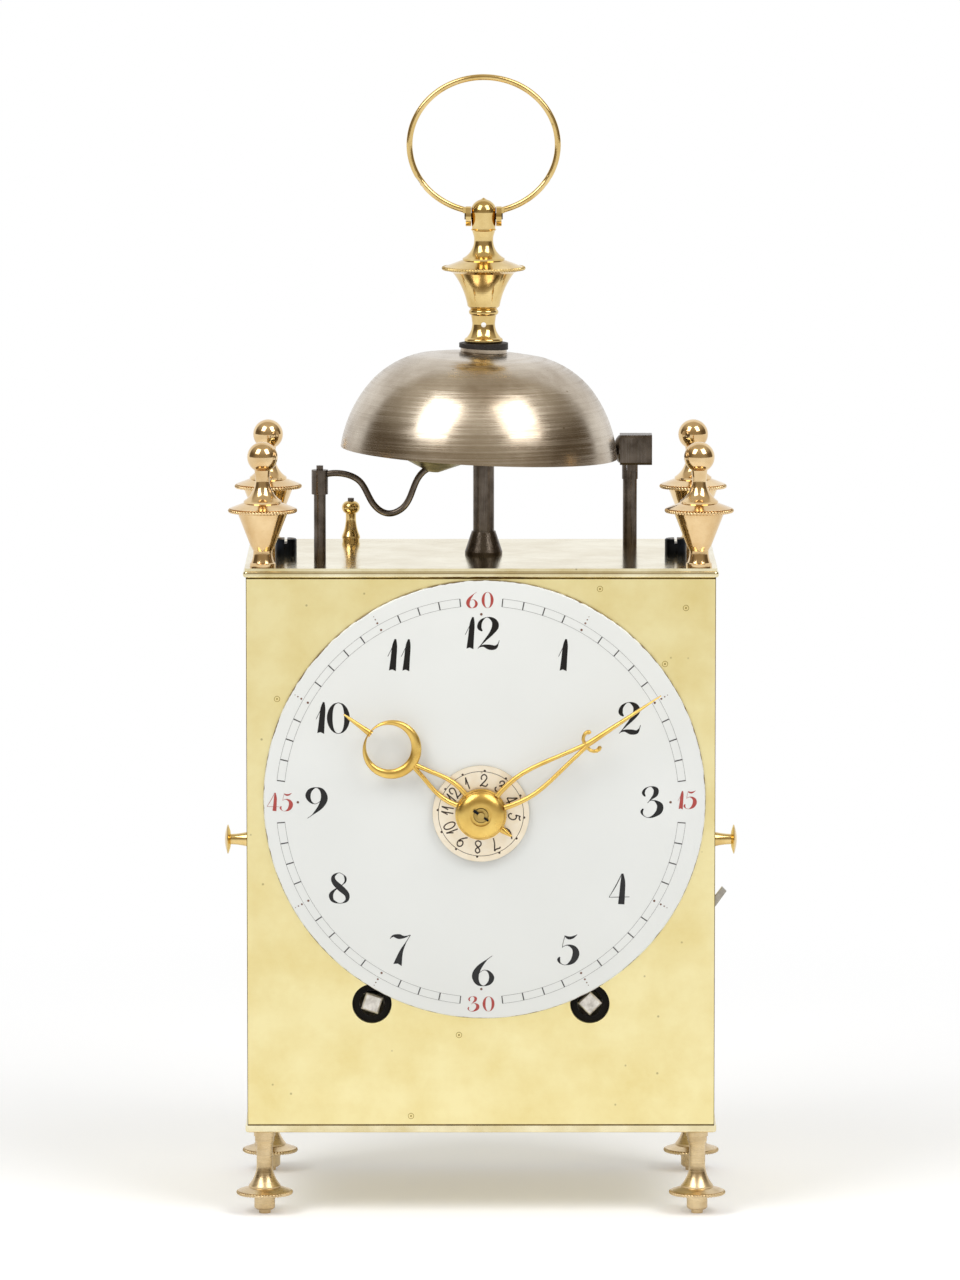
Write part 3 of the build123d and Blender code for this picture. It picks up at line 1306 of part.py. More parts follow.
def main():
    os.makedirs("parts", exist_ok=True)
    export("base_plate", make_base_plate())
    export("top_plate", make_top_plate())
    export("corner_posts", make_corner_posts())
    export("front_plate", make_front_plate())
    export("rear_plate", make_rear_plate())
    export("rear_plate_screws", make_rear_plate_screws())
    export("left_door", make_door(-1))
    export("right_door", make_door(1))
    export("left_door_knob", make_door_knob(-1))
    export("right_door_knob", make_door_knob(1))
    export("door_hinge_pins", make_door_pins())
    export("feet", [make_foot(x, y) for x, y in corners()])
    export("corner_finials", [make_finial(x, y) for x, y in corners()])
    export("bell", make_bell())
    export("bell_post", make_bell_post())
    export("bell_post_nut", make_bell_post_nut())
    export("bell_inner_washer", make_inner_washer())
    export("bell_disc", make_bell_disc())
    export("bell_leather_washer", make_leather_washer())
    export("handle_finial", make_handle_finial())
    export("carrying_ring", make_carrying_ring())
    export("ring_pin", make_ring_pin())
    export("top_screws", make_top_screws())
    export("rating_nut", make_rating_nut())
    export("suspension_rod", make_suspension_rod())
    export("dial", make_dial())
    export("dial_pins", make_dial_pins())
    export("alarm_disc", make_alarm_disc())
    export("hour_hand", make_hour_hand())
    export("minute_hand", make_minute_hand())
    export("hand_pin", make_hand_pin())
    export("cannon_pinion", make_cannon_pinion())
    export("minute_wheel", make_minute_wheel())
    export("hour_wheel", make_hour_wheel())
    export("front_movement_plate", make_front_movement_plate())
    export("rear_movement_plate", make_rear_movement_plate())
    export("movement_pillars", make_pillars())
    export("pillar_nuts", make_pillar_nuts())
    export("going_barrel", make_barrel(going, second))
    export("strike_barrel", make_barrel(striking, pin_wheel))
    export("going_winding_arbor", make_winding_arbor(going, 18))
    export("strike_winding_arbor", make_winding_arbor(striking, 45))
    export("clicks", make_clicks())
    export("shoulder_screws", make_click_screws() + [make_lever_screw()])
    export("second_wheel", make_second_wheel())
    export("centre_wheel", make_centre_wheel())
    export("third_wheel", make_third_wheel())
    export("escape_wheel", make_escape_wheel())
    export("pallets", make_pallets())
    export("pendulum", make_pendulum())
    export("pin_wheel", make_pin_wheel())
    export("warning_wheel", make_warning_wheel())
    export("fly", make_fly())
    export("strike_hammer", make_strike_hammer())
    export("alarm_hammer", make_alarm_hammer())
    export("alarm_head", make_alarm_head())
    export("alarm_wheel", make_alarm_wheel())
    export("alarm_cock", make_alarm_cock())
    export("hammer_cock", make_hammer_cock())
    export("repeat_lever", make_repeat_lever())


main()
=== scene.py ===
import bpy
from math import cos, hypot, pi, radians, sin
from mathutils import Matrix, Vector
from mathutils.bvhtree import BVHTree


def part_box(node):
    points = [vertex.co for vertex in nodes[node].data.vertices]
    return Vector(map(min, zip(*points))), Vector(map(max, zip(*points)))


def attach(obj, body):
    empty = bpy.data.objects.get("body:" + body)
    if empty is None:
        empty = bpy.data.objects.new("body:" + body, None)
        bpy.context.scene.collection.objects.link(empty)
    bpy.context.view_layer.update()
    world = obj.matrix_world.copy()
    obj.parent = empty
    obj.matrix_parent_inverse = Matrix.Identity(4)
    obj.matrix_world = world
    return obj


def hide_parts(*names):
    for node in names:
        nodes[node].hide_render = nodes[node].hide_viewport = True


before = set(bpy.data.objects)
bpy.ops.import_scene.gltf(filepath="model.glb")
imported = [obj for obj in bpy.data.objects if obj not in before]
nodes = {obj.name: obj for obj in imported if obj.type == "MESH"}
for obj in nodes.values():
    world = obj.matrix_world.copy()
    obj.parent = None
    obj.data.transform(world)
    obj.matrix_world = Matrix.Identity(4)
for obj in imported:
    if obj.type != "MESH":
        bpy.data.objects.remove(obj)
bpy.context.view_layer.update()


# Camera: a long lens, level with the top of the ring and looking slightly down. It was fitted to the
# photograph, so a pixel of the photograph can be carried back onto the clock.
mm = 0.001
photo_width = 960
photo_height = 1280
focal_px = 8521
camera_place_mm = (-2.83, -2373.1, 445.1)
camera_dip = 6.905
camera_turn = 0.063
camera_data = bpy.data.cameras.new("studio_camera")
camera_data.sensor_width = 36.0
camera_data.lens = focal_px / photo_height * camera_data.sensor_width
camera_data.clip_end = 60.0
camera = bpy.data.objects.new("studio_camera", camera_data)
camera.location = [c * mm for c in camera_place_mm]
camera.rotation_euler = (radians(90 - camera_dip), 0, radians(-camera_turn))
bpy.context.collection.objects.link(camera)
bpy.context.scene.camera = camera
bpy.context.scene.view_settings.view_transform = "Standard"


def from_photo(px, py, y):
    """Where the line of sight through a pixel of the photograph meets the upright plane at y, as (x, z)."""
    sight = Vector((px - photo_width / 2, photo_height / 2 - py, -focal_px))
    sight = camera.rotation_euler.to_matrix() @ sight
    place = camera.location + sight * ((y - camera.location.y) / sight.y)
    return place.x, place.z


# Base plate and top plate: sheet brass, milled flat and polished with fine abrasive. They hold the four
# corner posts between them, and the feet and finials clamp them.
spot_spacing_mm = 7


def linear(code):
    """The linear colour of an sRGB hex value."""
    shares = [int(code[i:i + 2], 16) / 255 for i in (1, 3, 5)]
    return [s / 12.92 if s <= 0.04045 else ((s + 0.055) / 1.055) ** 2.4 for s in shares] + [1.0]


def add(material, kind, values=(), **settings):
    """Adds a shader node with its settings, its values and its links."""
    node = material.node_tree.nodes.new(kind)
    for name, setting in settings.items():
        setattr(node, name, setting)
    for socket, value in dict(values).items():
        if isinstance(value, bpy.types.NodeSocket):
            material.node_tree.links.new(value, node.inputs[socket])
        else:
            node.inputs[socket].default_value = value
    return node


def blank_material(name):
    """A material with an empty node tree."""
    material = bpy.data.materials.new(name)
    material.use_nodes = True
    material.node_tree.nodes.clear()
    return material


def worked_metal(name, pale, deep, smooth, rough, grain_mm, cloud_mm, bump=0.05, spots=0.0):
    """A metal with tool marks along its grain, a slow cloud of tarnish and a few dark spots."""
    material = blank_material(name)
    place = add(material, "ShaderNodeTexCoord").outputs["Object"]
    stretched = add(material, "ShaderNodeMapping", {
        "Vector": place, "Scale": [1 / (g * mm) for g in grain_mm]}).outputs["Vector"]
    marks = add(material, "ShaderNodeTexNoise", {"Vector": stretched, "Scale": 1.0, "Detail": 3.0}).outputs[0]
    cloud = add(material, "ShaderNodeTexNoise", {
        "Vector": place, "Scale": 1 / (cloud_mm * mm), "Detail": 5.0, "Roughness": 0.6}).outputs[0]
    tone = add(material, "ShaderNodeMapRange", {
        "Value": cloud, "From Min": 0.35, "From Max": 0.75, "To Min": 0.0, "To Max": 1.0}).outputs[0]
    colour = add(material, "ShaderNodeMixRGB", {
        "Fac": tone, "Color1": linear(pale), "Color2": linear(deep)}).outputs[0]
    if spots > 0:
        dots = add(material, "ShaderNodeTexVoronoi", {
            "Vector": place, "Scale": 1 / (spot_spacing_mm * mm)}).outputs["Distance"]
        dark = add(material, "ShaderNodeMapRange", {
            "Value": dots, "From Min": 0.03, "From Max": 0.06, "To Min": spots, "To Max": 0.0}).outputs[0]
        colour = add(material, "ShaderNodeMixRGB", {
            "Fac": dark, "Color1": colour, "Color2": linear("#6B5524")}).outputs[0]
    sheen = add(material, "ShaderNodeMapRange", {
        "Value": marks, "From Min": 0.3, "From Max": 0.7, "To Min": smooth, "To Max": rough}).outputs[0]
    relief = add(material, "ShaderNodeBump", {
        "Height": marks, "Strength": bump, "Distance": 0.1 * mm}).outputs[0]
    surface = add(material, "ShaderNodeBsdfPrincipled", {
        "Base Color": colour, "Roughness": sheen, "Normal": relief, "Metallic": 1.0})
    add(material, "ShaderNodeOutputMaterial", {"Surface": surface.outputs[0]})
    return material


def dress(material, *names):
    """Gives CAD nodes their finish."""
    for name in names:
        nodes[name].data.materials.clear()
        nodes[name].data.materials.append(material)


deck_brass = worked_metal("polished_sheet_brass", "#EFE6C4", "#CDBB86", 0.10, 0.2,
                          (14, 0.4, 14), 16, 0.04, 0.5)
dress(deck_brass, "top_plate", "base_plate")


# Front plate, rear plate and side doors: hard-rolled sheet brass, rubbed straight across with fine emery, so
# that it shows a soft horizontal grain. Small round plugs fill old holes in the sheet.
plate_grain_mm = 0.3
front_brass = worked_metal("emery_rubbed_sheet_brass", "#FCF0B8", "#F1DF9C", 0.3, 0.42,
                           (30, 30, plate_grain_mm), 14, 0.05, 0.45)
dress(front_brass, "front_plate", "rear_plate", "left_door", "right_door", "corner_posts")
plug_places = [(277, 699), (600, 589), (665, 664), (686, 608), (459, 1035), (411, 1116)]
plug_r = 0.85 * mm
plug_lift = 0.02 * mm
plug_ring_share = 0.8
plug_core_share = 0.35
case_front_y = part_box("front_plate")[0].y


def sheet_object(name, points, faces, material, body="case", smooth=False):
    """A mesh piece from its points and faces, riding on a body."""
    mesh = bpy.data.meshes.new(name)
    mesh.from_pydata(points, [], faces)
    mesh.materials.append(material)
    mesh.polygons.foreach_set("use_smooth", [smooth] * len(mesh.polygons))
    piece = bpy.data.objects.new(name, mesh)
    bpy.context.collection.objects.link(piece)
    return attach(piece, body)


def ring_band(centre, inner, outer, steps, start=0.0, sweep=2 * pi):
    """Points and faces of a flat ring or arc in the plane of the front, as (x, z) pairs."""
    count = steps + 1
    places = []
    for k in range(count):
        angle = start + sweep * k / steps
        for radius in (inner, outer):
            places.append((centre[0] + radius * sin(angle), centre[1] + radius * cos(angle)))
    faces = [(2 * k, 2 * k + 1, 2 * k + 3, 2 * k + 2) for k in range(steps)]
    return places, faces


plug_brass = worked_metal("riveted_plug_brass", "#C9B068", "#8E7635", 0.35, 0.5, (2, 2, 2), 3)
plug_points = []
plug_faces = []
for px, py in plug_places:
    middle = from_photo(px, py, case_front_y)
    for inner, outer in ((plug_r * plug_ring_share, plug_r), (0.0, plug_r * plug_core_share)):
        places, faces = ring_band(middle, inner, outer, 20)
        plug_faces += [tuple(len(plug_points) + i for i in face) for face in faces]
        plug_points += [(x, case_front_y - plug_lift, z) for x, z in places]
plugs = sheet_object("front_plate_plugs", plug_points, plug_faces, plug_brass)


# Plate joints: thin dark lines of painted shade along the edges of the front, where the plates meet and shade
# falls into the joints. The line under the top plate, where its overhang shades the front, is the widest.
seam_w = 0.28 * mm
seam_top_w = seam_w * 1.4
seam_side_w = seam_w * 0.6
seam_lift = 0.015 * mm
case_low_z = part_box("front_plate")[0].z
case_high_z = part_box("front_plate")[1].z
case_half_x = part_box("front_plate")[1].x
# Painted shade: dark brown strips stand for the contact shadow in the joints between the plates.
joint_shade_paint = worked_metal("painted_joint_shade", "#7A5F28", "#4A3714", 0.5, 0.7, (1, 1, 1), 2)
seam_points = []
seam_faces = []
for x0, x1, z0, z1 in ((-case_half_x, case_half_x, case_high_z - seam_top_w, case_high_z),
                       (-case_half_x, case_half_x, case_low_z, case_low_z + seam_w),
                       (-case_half_x, -case_half_x + seam_side_w, case_low_z, case_high_z),
                       (case_half_x - seam_side_w, case_half_x, case_low_z, case_high_z)):
    first = len(seam_points)
    seam_points += [(x, case_front_y - seam_lift, z) for x, z in ((x0, z0), (x1, z0), (x1, z1), (x0, z1))]
    seam_faces.append(tuple(range(first, first + 4)))
joint_shade_lines = sheet_object("front_plate_painted_joint_shade", seam_points, seam_faces, joint_shade_paint)


# Corner finials: turned and polished brass, a little pinker than the plates. The rim of the broad disc is
# knurled like a rope.
corner_x = 60.4 * mm
corner_y = 33.0 * mm
rope_inset = 0.1 * mm
rope_thick = 0.42 * mm
strand_depth = 0.3
strand_slant = 1.2
finial_rim_rise = 15.65 * mm
finial_strands = 64
finial_brass = worked_metal("turned_polished_brass", "#EDD2A4", "#CFAA74", 0.07, 0.16,
                            (9, 9, 0.35), 10, 0.05, 0.35)
dress(finial_brass, "corner_finials")
finial_mid_y = (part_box("corner_finials")[0].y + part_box("corner_finials")[1].y) / 2
finial_centres = [(sx * corner_x, finial_mid_y + sy * corner_y) for sx in (-1, 1) for sy in (-1, 1)]
finial_rim_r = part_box("corner_finials")[1].x - corner_x - rope_inset


def rope_rim(name, centre, height, radius, twists, material, body="case"):
    """A knurled rim: a thin ring whose section is pinched into slanting strands."""
    around = twists * 8
    section = 10
    points = []
    for i in range(around):
        angle = 2 * pi * i / around
        for j in range(section):
            turn = 2 * pi * j / section
            r = rope_thick * (1 + strand_depth * sin(twists * angle + strand_slant * sin(turn)))
            reach = radius + r * cos(turn)
            points.append((centre[0] + reach * cos(angle), centre[1] + reach * sin(angle),
                           height + r * sin(turn)))
    faces = []
    for i in range(around):
        for j in range(section):
            k, m = (i + 1) % around, (j + 1) % section
            faces.append((i * section + j, k * section + j, k * section + m, i * section + m))
    return sheet_object(name, points, faces, material, body, smooth=True)


deck_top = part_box("top_plate")[1].z
for k, (x, y) in enumerate(finial_centres):
    rim = rope_rim(f"finial_rope_rim_{k + 1}", (x, y), deck_top + finial_rim_rise, finial_rim_r,
                   finial_strands, finial_brass)


# Feet: turned from the same brass and left duller. Each disc has the same knurled rim as the finials, with
# fewer strands on its smaller round.
foot_rim_height = 5.85 * mm
foot_strands = 52
foot_rim_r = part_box("feet")[1].x - corner_x - rope_inset
foot_brass = worked_metal("turned_dull_brass", "#E0CAA2", "#B79C70", 0.22, 0.36, (9, 9, 0.4), 8, 0.08, 0.4)
dress(foot_brass, "feet")
for k, (x, y) in enumerate(finial_centres):
    rim = rope_rim(f"foot_rope_rim_{k + 1}", (x, y), foot_rim_height, foot_rim_r, foot_strands, foot_brass)


# Bell: cast bell metal, turned and polished. Fine rings from the lathe run round it, and a disc of the same
# metal sits under the handle.
bell_metal = worked_metal("turned_bell_metal", "#CFC4B4", "#9C8C78", 0.16, 0.34, (40, 40, 0.4), 18, 0.12, 0.6)
dress(bell_metal, "bell", "bell_disc")


# Bell post, hammers and arbors: bright filed steel that has gone brown with age. The alarm hammer has a
# bronze head, and the repeat lever is still bright.
dark_steel = worked_metal("browned_filed_steel", "#6E655C", "#3E362E", 0.2, 0.42,
                          (0.5, 0.5, 14), 5, 0.12, 0.5)
dress(dark_steel, "bell_post", "strike_hammer", "alarm_hammer", "bell_post_nut", "suspension_rod", "pendulum",
      "pallets", "clicks", "door_hinge_pins", "ring_pin")
head_bronze = worked_metal("cast_hammer_bronze", "#8E8452", "#5A5330", 0.25, 0.45, (3, 3, 3), 5, 0.2)
dress(head_bronze, "alarm_head")
lever_steel = worked_metal("bright_filed_steel", "#B8B4AC", "#837D74", 0.22, 0.4, (6, 0.3, 6), 5, 0.1)
dress(lever_steel, "repeat_lever")


# Winding arbors: filed steel squares, paler on their worn ends. A near-black ring of painted shade fills each
# hole round its square, standing for the shadow down inside the hole.
square_steel = worked_metal("worn_winding_steel", "#EFECE6", "#B4AFA6", 0.4, 0.6,
                            (1.2, 1.2, 1.2), 2.0, 0.25)
dress(square_steel, "going_winding_arbor", "strike_winding_arbor")
winding_hole_r = 5.4 * mm
winding_shade_r = 3.6 * mm
winding_shade_depth = 1.1 * mm
# Painted shade: these near-black rings stand for the shadow inside the winding holes, not for a real part.
hole_shade_paint = blank_material("painted_shade_in_the_winding_holes")
shade_grain = add(hole_shade_paint, "ShaderNodeTexNoise", {"Scale": 800.0})
shade_tone = add(hole_shade_paint, "ShaderNodeMixRGB", {
    "Fac": shade_grain.outputs[0], "Color1": linear("#060504"), "Color2": linear("#16120D")}).outputs[0]
shade_surface = add(hole_shade_paint, "ShaderNodeBsdfPrincipled", {
    "Base Color": shade_tone, "Roughness": 0.7, "Specular IOR Level": 0.15})
add(hole_shade_paint, "ShaderNodeOutputMaterial", {"Surface": shade_surface.outputs[0]})
for node in ("going_winding_arbor", "strike_winding_arbor"):
    arbor_low, arbor_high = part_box(node)
    middle = ((arbor_low.x + arbor_high.x) / 2, (arbor_low.z + arbor_high.z) / 2)
    places, faces = ring_band(middle, winding_shade_r, winding_hole_r, 48)
    points = [(x, case_front_y + winding_shade_depth, z) for x, z in places]
    shade = sheet_object(node.replace("arbor", "hole_painted_shade"), points, faces, hole_shade_paint)


# Screws and pins: steel, heated until it turns blue-black. The two big screws of the top plate, the four of
# the rear plate and the pins of dial and hands share this finish.
blued_steel = worked_metal("blue_black_steel", "#23272E", "#0E1013", 0.25, 0.45, (2, 2, 2), 3, 0.1)
dress(blued_steel, "top_screws", "rear_plate_screws", "shoulder_screws", "dial_pins", "hand_pin")


# Washers of the bell: cut from thick hide, hard and black with oil. One sits on the bell under the handle and
# one inside it.
leather_grain_mm = 0.6
leather_relief_mm = 0.3
leather = blank_material("oiled_black_leather")
leather_place = add(leather, "ShaderNodeTexCoord").outputs["Object"]
leather_grain = add(leather, "ShaderNodeTexNoise", {
    "Vector": leather_place, "Scale": 1 / (leather_grain_mm * mm), "Detail": 6.0})
leather_tone = add(leather, "ShaderNodeMixRGB", {
    "Fac": leather_grain.outputs[0], "Color1": linear("#0A0908"), "Color2": linear("#2B2622")})
leather_relief = add(leather, "ShaderNodeBump", {
    "Height": leather_grain.outputs[0], "Strength": 0.8, "Distance": leather_relief_mm * mm})
leather_surface = add(leather, "ShaderNodeBsdfPrincipled", {
    "Base Color": leather_tone.outputs[0], "Normal": leather_relief.outputs[0], "Roughness": 0.6})
add(leather, "ShaderNodeOutputMaterial", {"Surface": leather_surface.outputs[0]})
dress(leather, "bell_leather_washer", "bell_inner_washer")


# Handle finial and carrying ring: turned and drawn brass, polished by handling. The handle's disc is knurled
# too, and the knobs of the doors and the nut of the pendulum are of the same metal.
handle_rim_rise = 20.95 * mm
handle_strands = 84
handle_brass = worked_metal("handled_yellow_brass", "#E9CE90", "#C4A25C", 0.07, 0.17,
                            (9, 9, 0.35), 9, 0.05, 0.4)
dress(handle_brass, "handle_finial", "carrying_ring", "rating_nut", "left_door_knob", "right_door_knob")
handle_low, handle_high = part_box("handle_finial")
handle_middle = ((handle_low.x + handle_high.x) / 2, (handle_low.y + handle_high.y) / 2)
handle_rim = rope_rim("handle_rope_rim", handle_middle, handle_low.z + handle_rim_rise,
                      handle_high.x - handle_middle[0] - rope_inset, handle_strands, handle_brass)


# Movement: cast and hammered brass plates and wheels, stoned to a soft finish. Plates, pillars, barrels,
# wheels and cocks all have it.
movement_brass = worked_metal("stoned_movement_brass", "#D9BD77", "#A88A45", 0.25, 0.4, (6, 6, 0.4), 12, 0.08)
dress(movement_brass, "front_movement_plate", "rear_movement_plate", "movement_pillars", "pillar_nuts",
      "going_barrel", "strike_barrel", "second_wheel", "centre_wheel", "third_wheel", "escape_wheel",
      "pin_wheel", "warning_wheel", "fly", "alarm_cock", "hammer_cock", "alarm_wheel", "minute_wheel",
      "hour_wheel", "cannon_pinion")


# Dial: a domed copper plate with fired white enamel. The glaze is glossy and faintly cloudy, and the bare
# copper shows brown along the chipped edge.
enamel_chip_mm = 3
enamel_chip_depth = 0.9 * mm
enamel_bare_from = 0.28 * mm
enamel_bare_to = 0.42 * mm
enamel_cloud_mm = 30
enamel = blank_material("fired_white_enamel")
enamel_place = add(enamel, "ShaderNodeTexCoord").outputs["Object"]
dial_low, dial_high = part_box("dial")
dial_x = (dial_low.x + dial_high.x) / 2
dial_z = (dial_low.z + dial_high.z) / 2
dial_r = (dial_high.x - dial_low.x) / 2
enamel_shift = add(enamel, "ShaderNodeMapping", {
    "Vector": enamel_place, "Location": (-dial_x, 0, -dial_z), "Scale": (1, 0, 1)}).outputs["Vector"]
enamel_reach = add(enamel, "ShaderNodeVectorMath", {0: enamel_shift}, operation="LENGTH").outputs["Value"]
enamel_edge_noise = add(enamel, "ShaderNodeTexNoise", {
    "Vector": enamel_place, "Scale": 1 / (enamel_chip_mm * mm), "Detail": 4.0}).outputs[0]
enamel_ragged = add(enamel, "ShaderNodeMath", {
    0: enamel_edge_noise, 1: enamel_chip_depth, 2: enamel_reach}, operation="MULTIPLY_ADD").outputs[0]
enamel_edge = add(enamel, "ShaderNodeMapRange", {
    "Value": enamel_ragged, "From Min": dial_r + enamel_bare_from,
    "From Max": dial_r + enamel_bare_to}).outputs[0]
enamel_cloud = add(enamel, "ShaderNodeTexNoise", {
    "Vector": enamel_place, "Scale": 1 / (enamel_cloud_mm * mm)}).outputs[0]
enamel_white = add(enamel, "ShaderNodeMixRGB", {
    "Fac": enamel_cloud, "Color1": linear("#E9EAE6"), "Color2": linear("#E2E3DF")}).outputs[0]
enamel_colour = add(enamel, "ShaderNodeMixRGB", {
    "Fac": enamel_edge, "Color1": enamel_white, "Color2": linear("#5A3F22")}).outputs[0]
enamel_surface = add(enamel, "ShaderNodeBsdfPrincipled", {
    "Base Color": enamel_colour, "Roughness": 0.12, "IOR": 1.5})
add(enamel, "ShaderNodeOutputMaterial", {"Surface": enamel_surface.outputs[0]})
dress(enamel, "dial")


# Numerals and minute track: black and red enamel, painted with a fine brush and fired into the white. Each
# numeral stands where the photograph shows it, because the painter set them by eye.
numeral_h = 8.7 * mm
red_upright_h = 4.4 * mm
red_aside_h = 5.1 * mm
numeral_pixels = {12: (481, 633), 1: (562, 655), 2: (629, 718), 3: (651, 802), 4: (619, 889), 5: (567, 950),
                  6: (483, 971), 7: (400, 950), 8: (339, 888), 9: (316, 803), 10: (332, 718), 11: (398, 655)}
red_upright_pixels = {"60": (480, 600), "30": (481, 1004)}
red_aside_pixels = {"45": (279, 802), "15": (686, 800)}
track_inner_r = 54.7 * mm
track_outer_r = 56.9 * mm
chapter_x = dial_x - 0.9 * mm
chapter_z = dial_z - 0.3 * mm
paint_lift = 0.03 * mm
brush_cloud_mm = 0.8
dial_surface = BVHTree.FromPolygons(
    [v.co for v in nodes["dial"].data.vertices], [p.vertices for p in nodes["dial"].data.polygons])


def paint(name, code):
    """Enamel colour: flat and glossy, with small brush clouds."""
    material = blank_material(name)
    place = add(material, "ShaderNodeTexCoord").outputs["Object"]
    strokes = add(material, "ShaderNodeTexNoise", {
        "Vector": place, "Scale": 1 / (brush_cloud_mm * mm), "Detail": 3.0}).outputs[0]
    pale = [min(1, c * 1.4 + 0.003) for c in linear(code)[:3]] + [1.0]
    colour = add(material, "ShaderNodeMixRGB", {
        "Fac": strokes, "Color1": linear(code), "Color2": pale}).outputs[0]
    surface = add(material, "ShaderNodeBsdfPrincipled", {
        "Base Color": colour, "Roughness": 0.3, "IOR": 1.45})
    add(material, "ShaderNodeOutputMaterial", {"Surface": surface.outputs[0]})
    return material


black_enamel = paint("fired_black_enamel", "#0B0A0C")
red_enamel = paint("fired_red_enamel", "#A0403A")
grey_enamel = paint("fired_thin_grey_enamel", "#7C7A78")
dark_grey_enamel = paint("fired_dark_grey_enamel", "#3E3C3C")
brown_enamel = paint("fired_brown_enamel", "#6A4B3C")


def on_dial(x, z):
    """The point of the glaze in front of (x, z), a hair's breadth proud."""
    hit = dial_surface.ray_cast(Vector((x, -0.2, z)), Vector((0, 1, 0)))[0]
    return (x, hit.y - paint_lift, z)


def brush_line(points, steps=6):
    """A smooth line through (x, y, width) points, as closer points."""
    line = []
    ends = [points[0]] + list(points) + [points[-1]]
    for a, b, c, d in zip(ends, ends[1:], ends[2:], ends[3:]):
        for k in range(steps):
            t = k / steps
            line.append(tuple(
                0.5 * (2 * q + (r - p) * t + (2 * p - 5 * q + 4 * r - s) * t * t
                       + (3 * q - p - 3 * r + s) * t ** 3)
                for p, q, r, s in zip(a, b, c, d)))
    line.append(tuple(points[-1]))
    return line


hair = 0.016
bold = 1.35
foot_notch = 0.05


def stroke(points, notch=0.0):
    """Points and faces of one brush stroke, three points wide, in the digit's own square."""
    line = brush_line(points)
    places = []
    for k, (x, y, w) in enumerate(line):
        before = line[max(k - 1, 0)]
        after = line[min(k + 1, len(line) - 1)]
        dx, dy = after[0] - before[0], after[1] - before[1]
        span = hypot(dx, dy) or 1.0
        nx, ny = -dy / span, dx / span
        back = notch if k == len(line) - 1 else 0.0
        w = w * bold if w > 2 * hair else max(w, hair)
        places += [(x + nx * w / 2, y + ny * w / 2), (x - dx / span * back, y - dy / span * back),
                   (x - nx * w / 2, y - ny * w / 2)]
    faces = []
    for k in range(len(line) - 1):
        a = 3 * k
        faces += [(a, a + 1, a + 4, a + 3), (a + 1, a + 2, a + 5, a + 4)]
    return places, faces


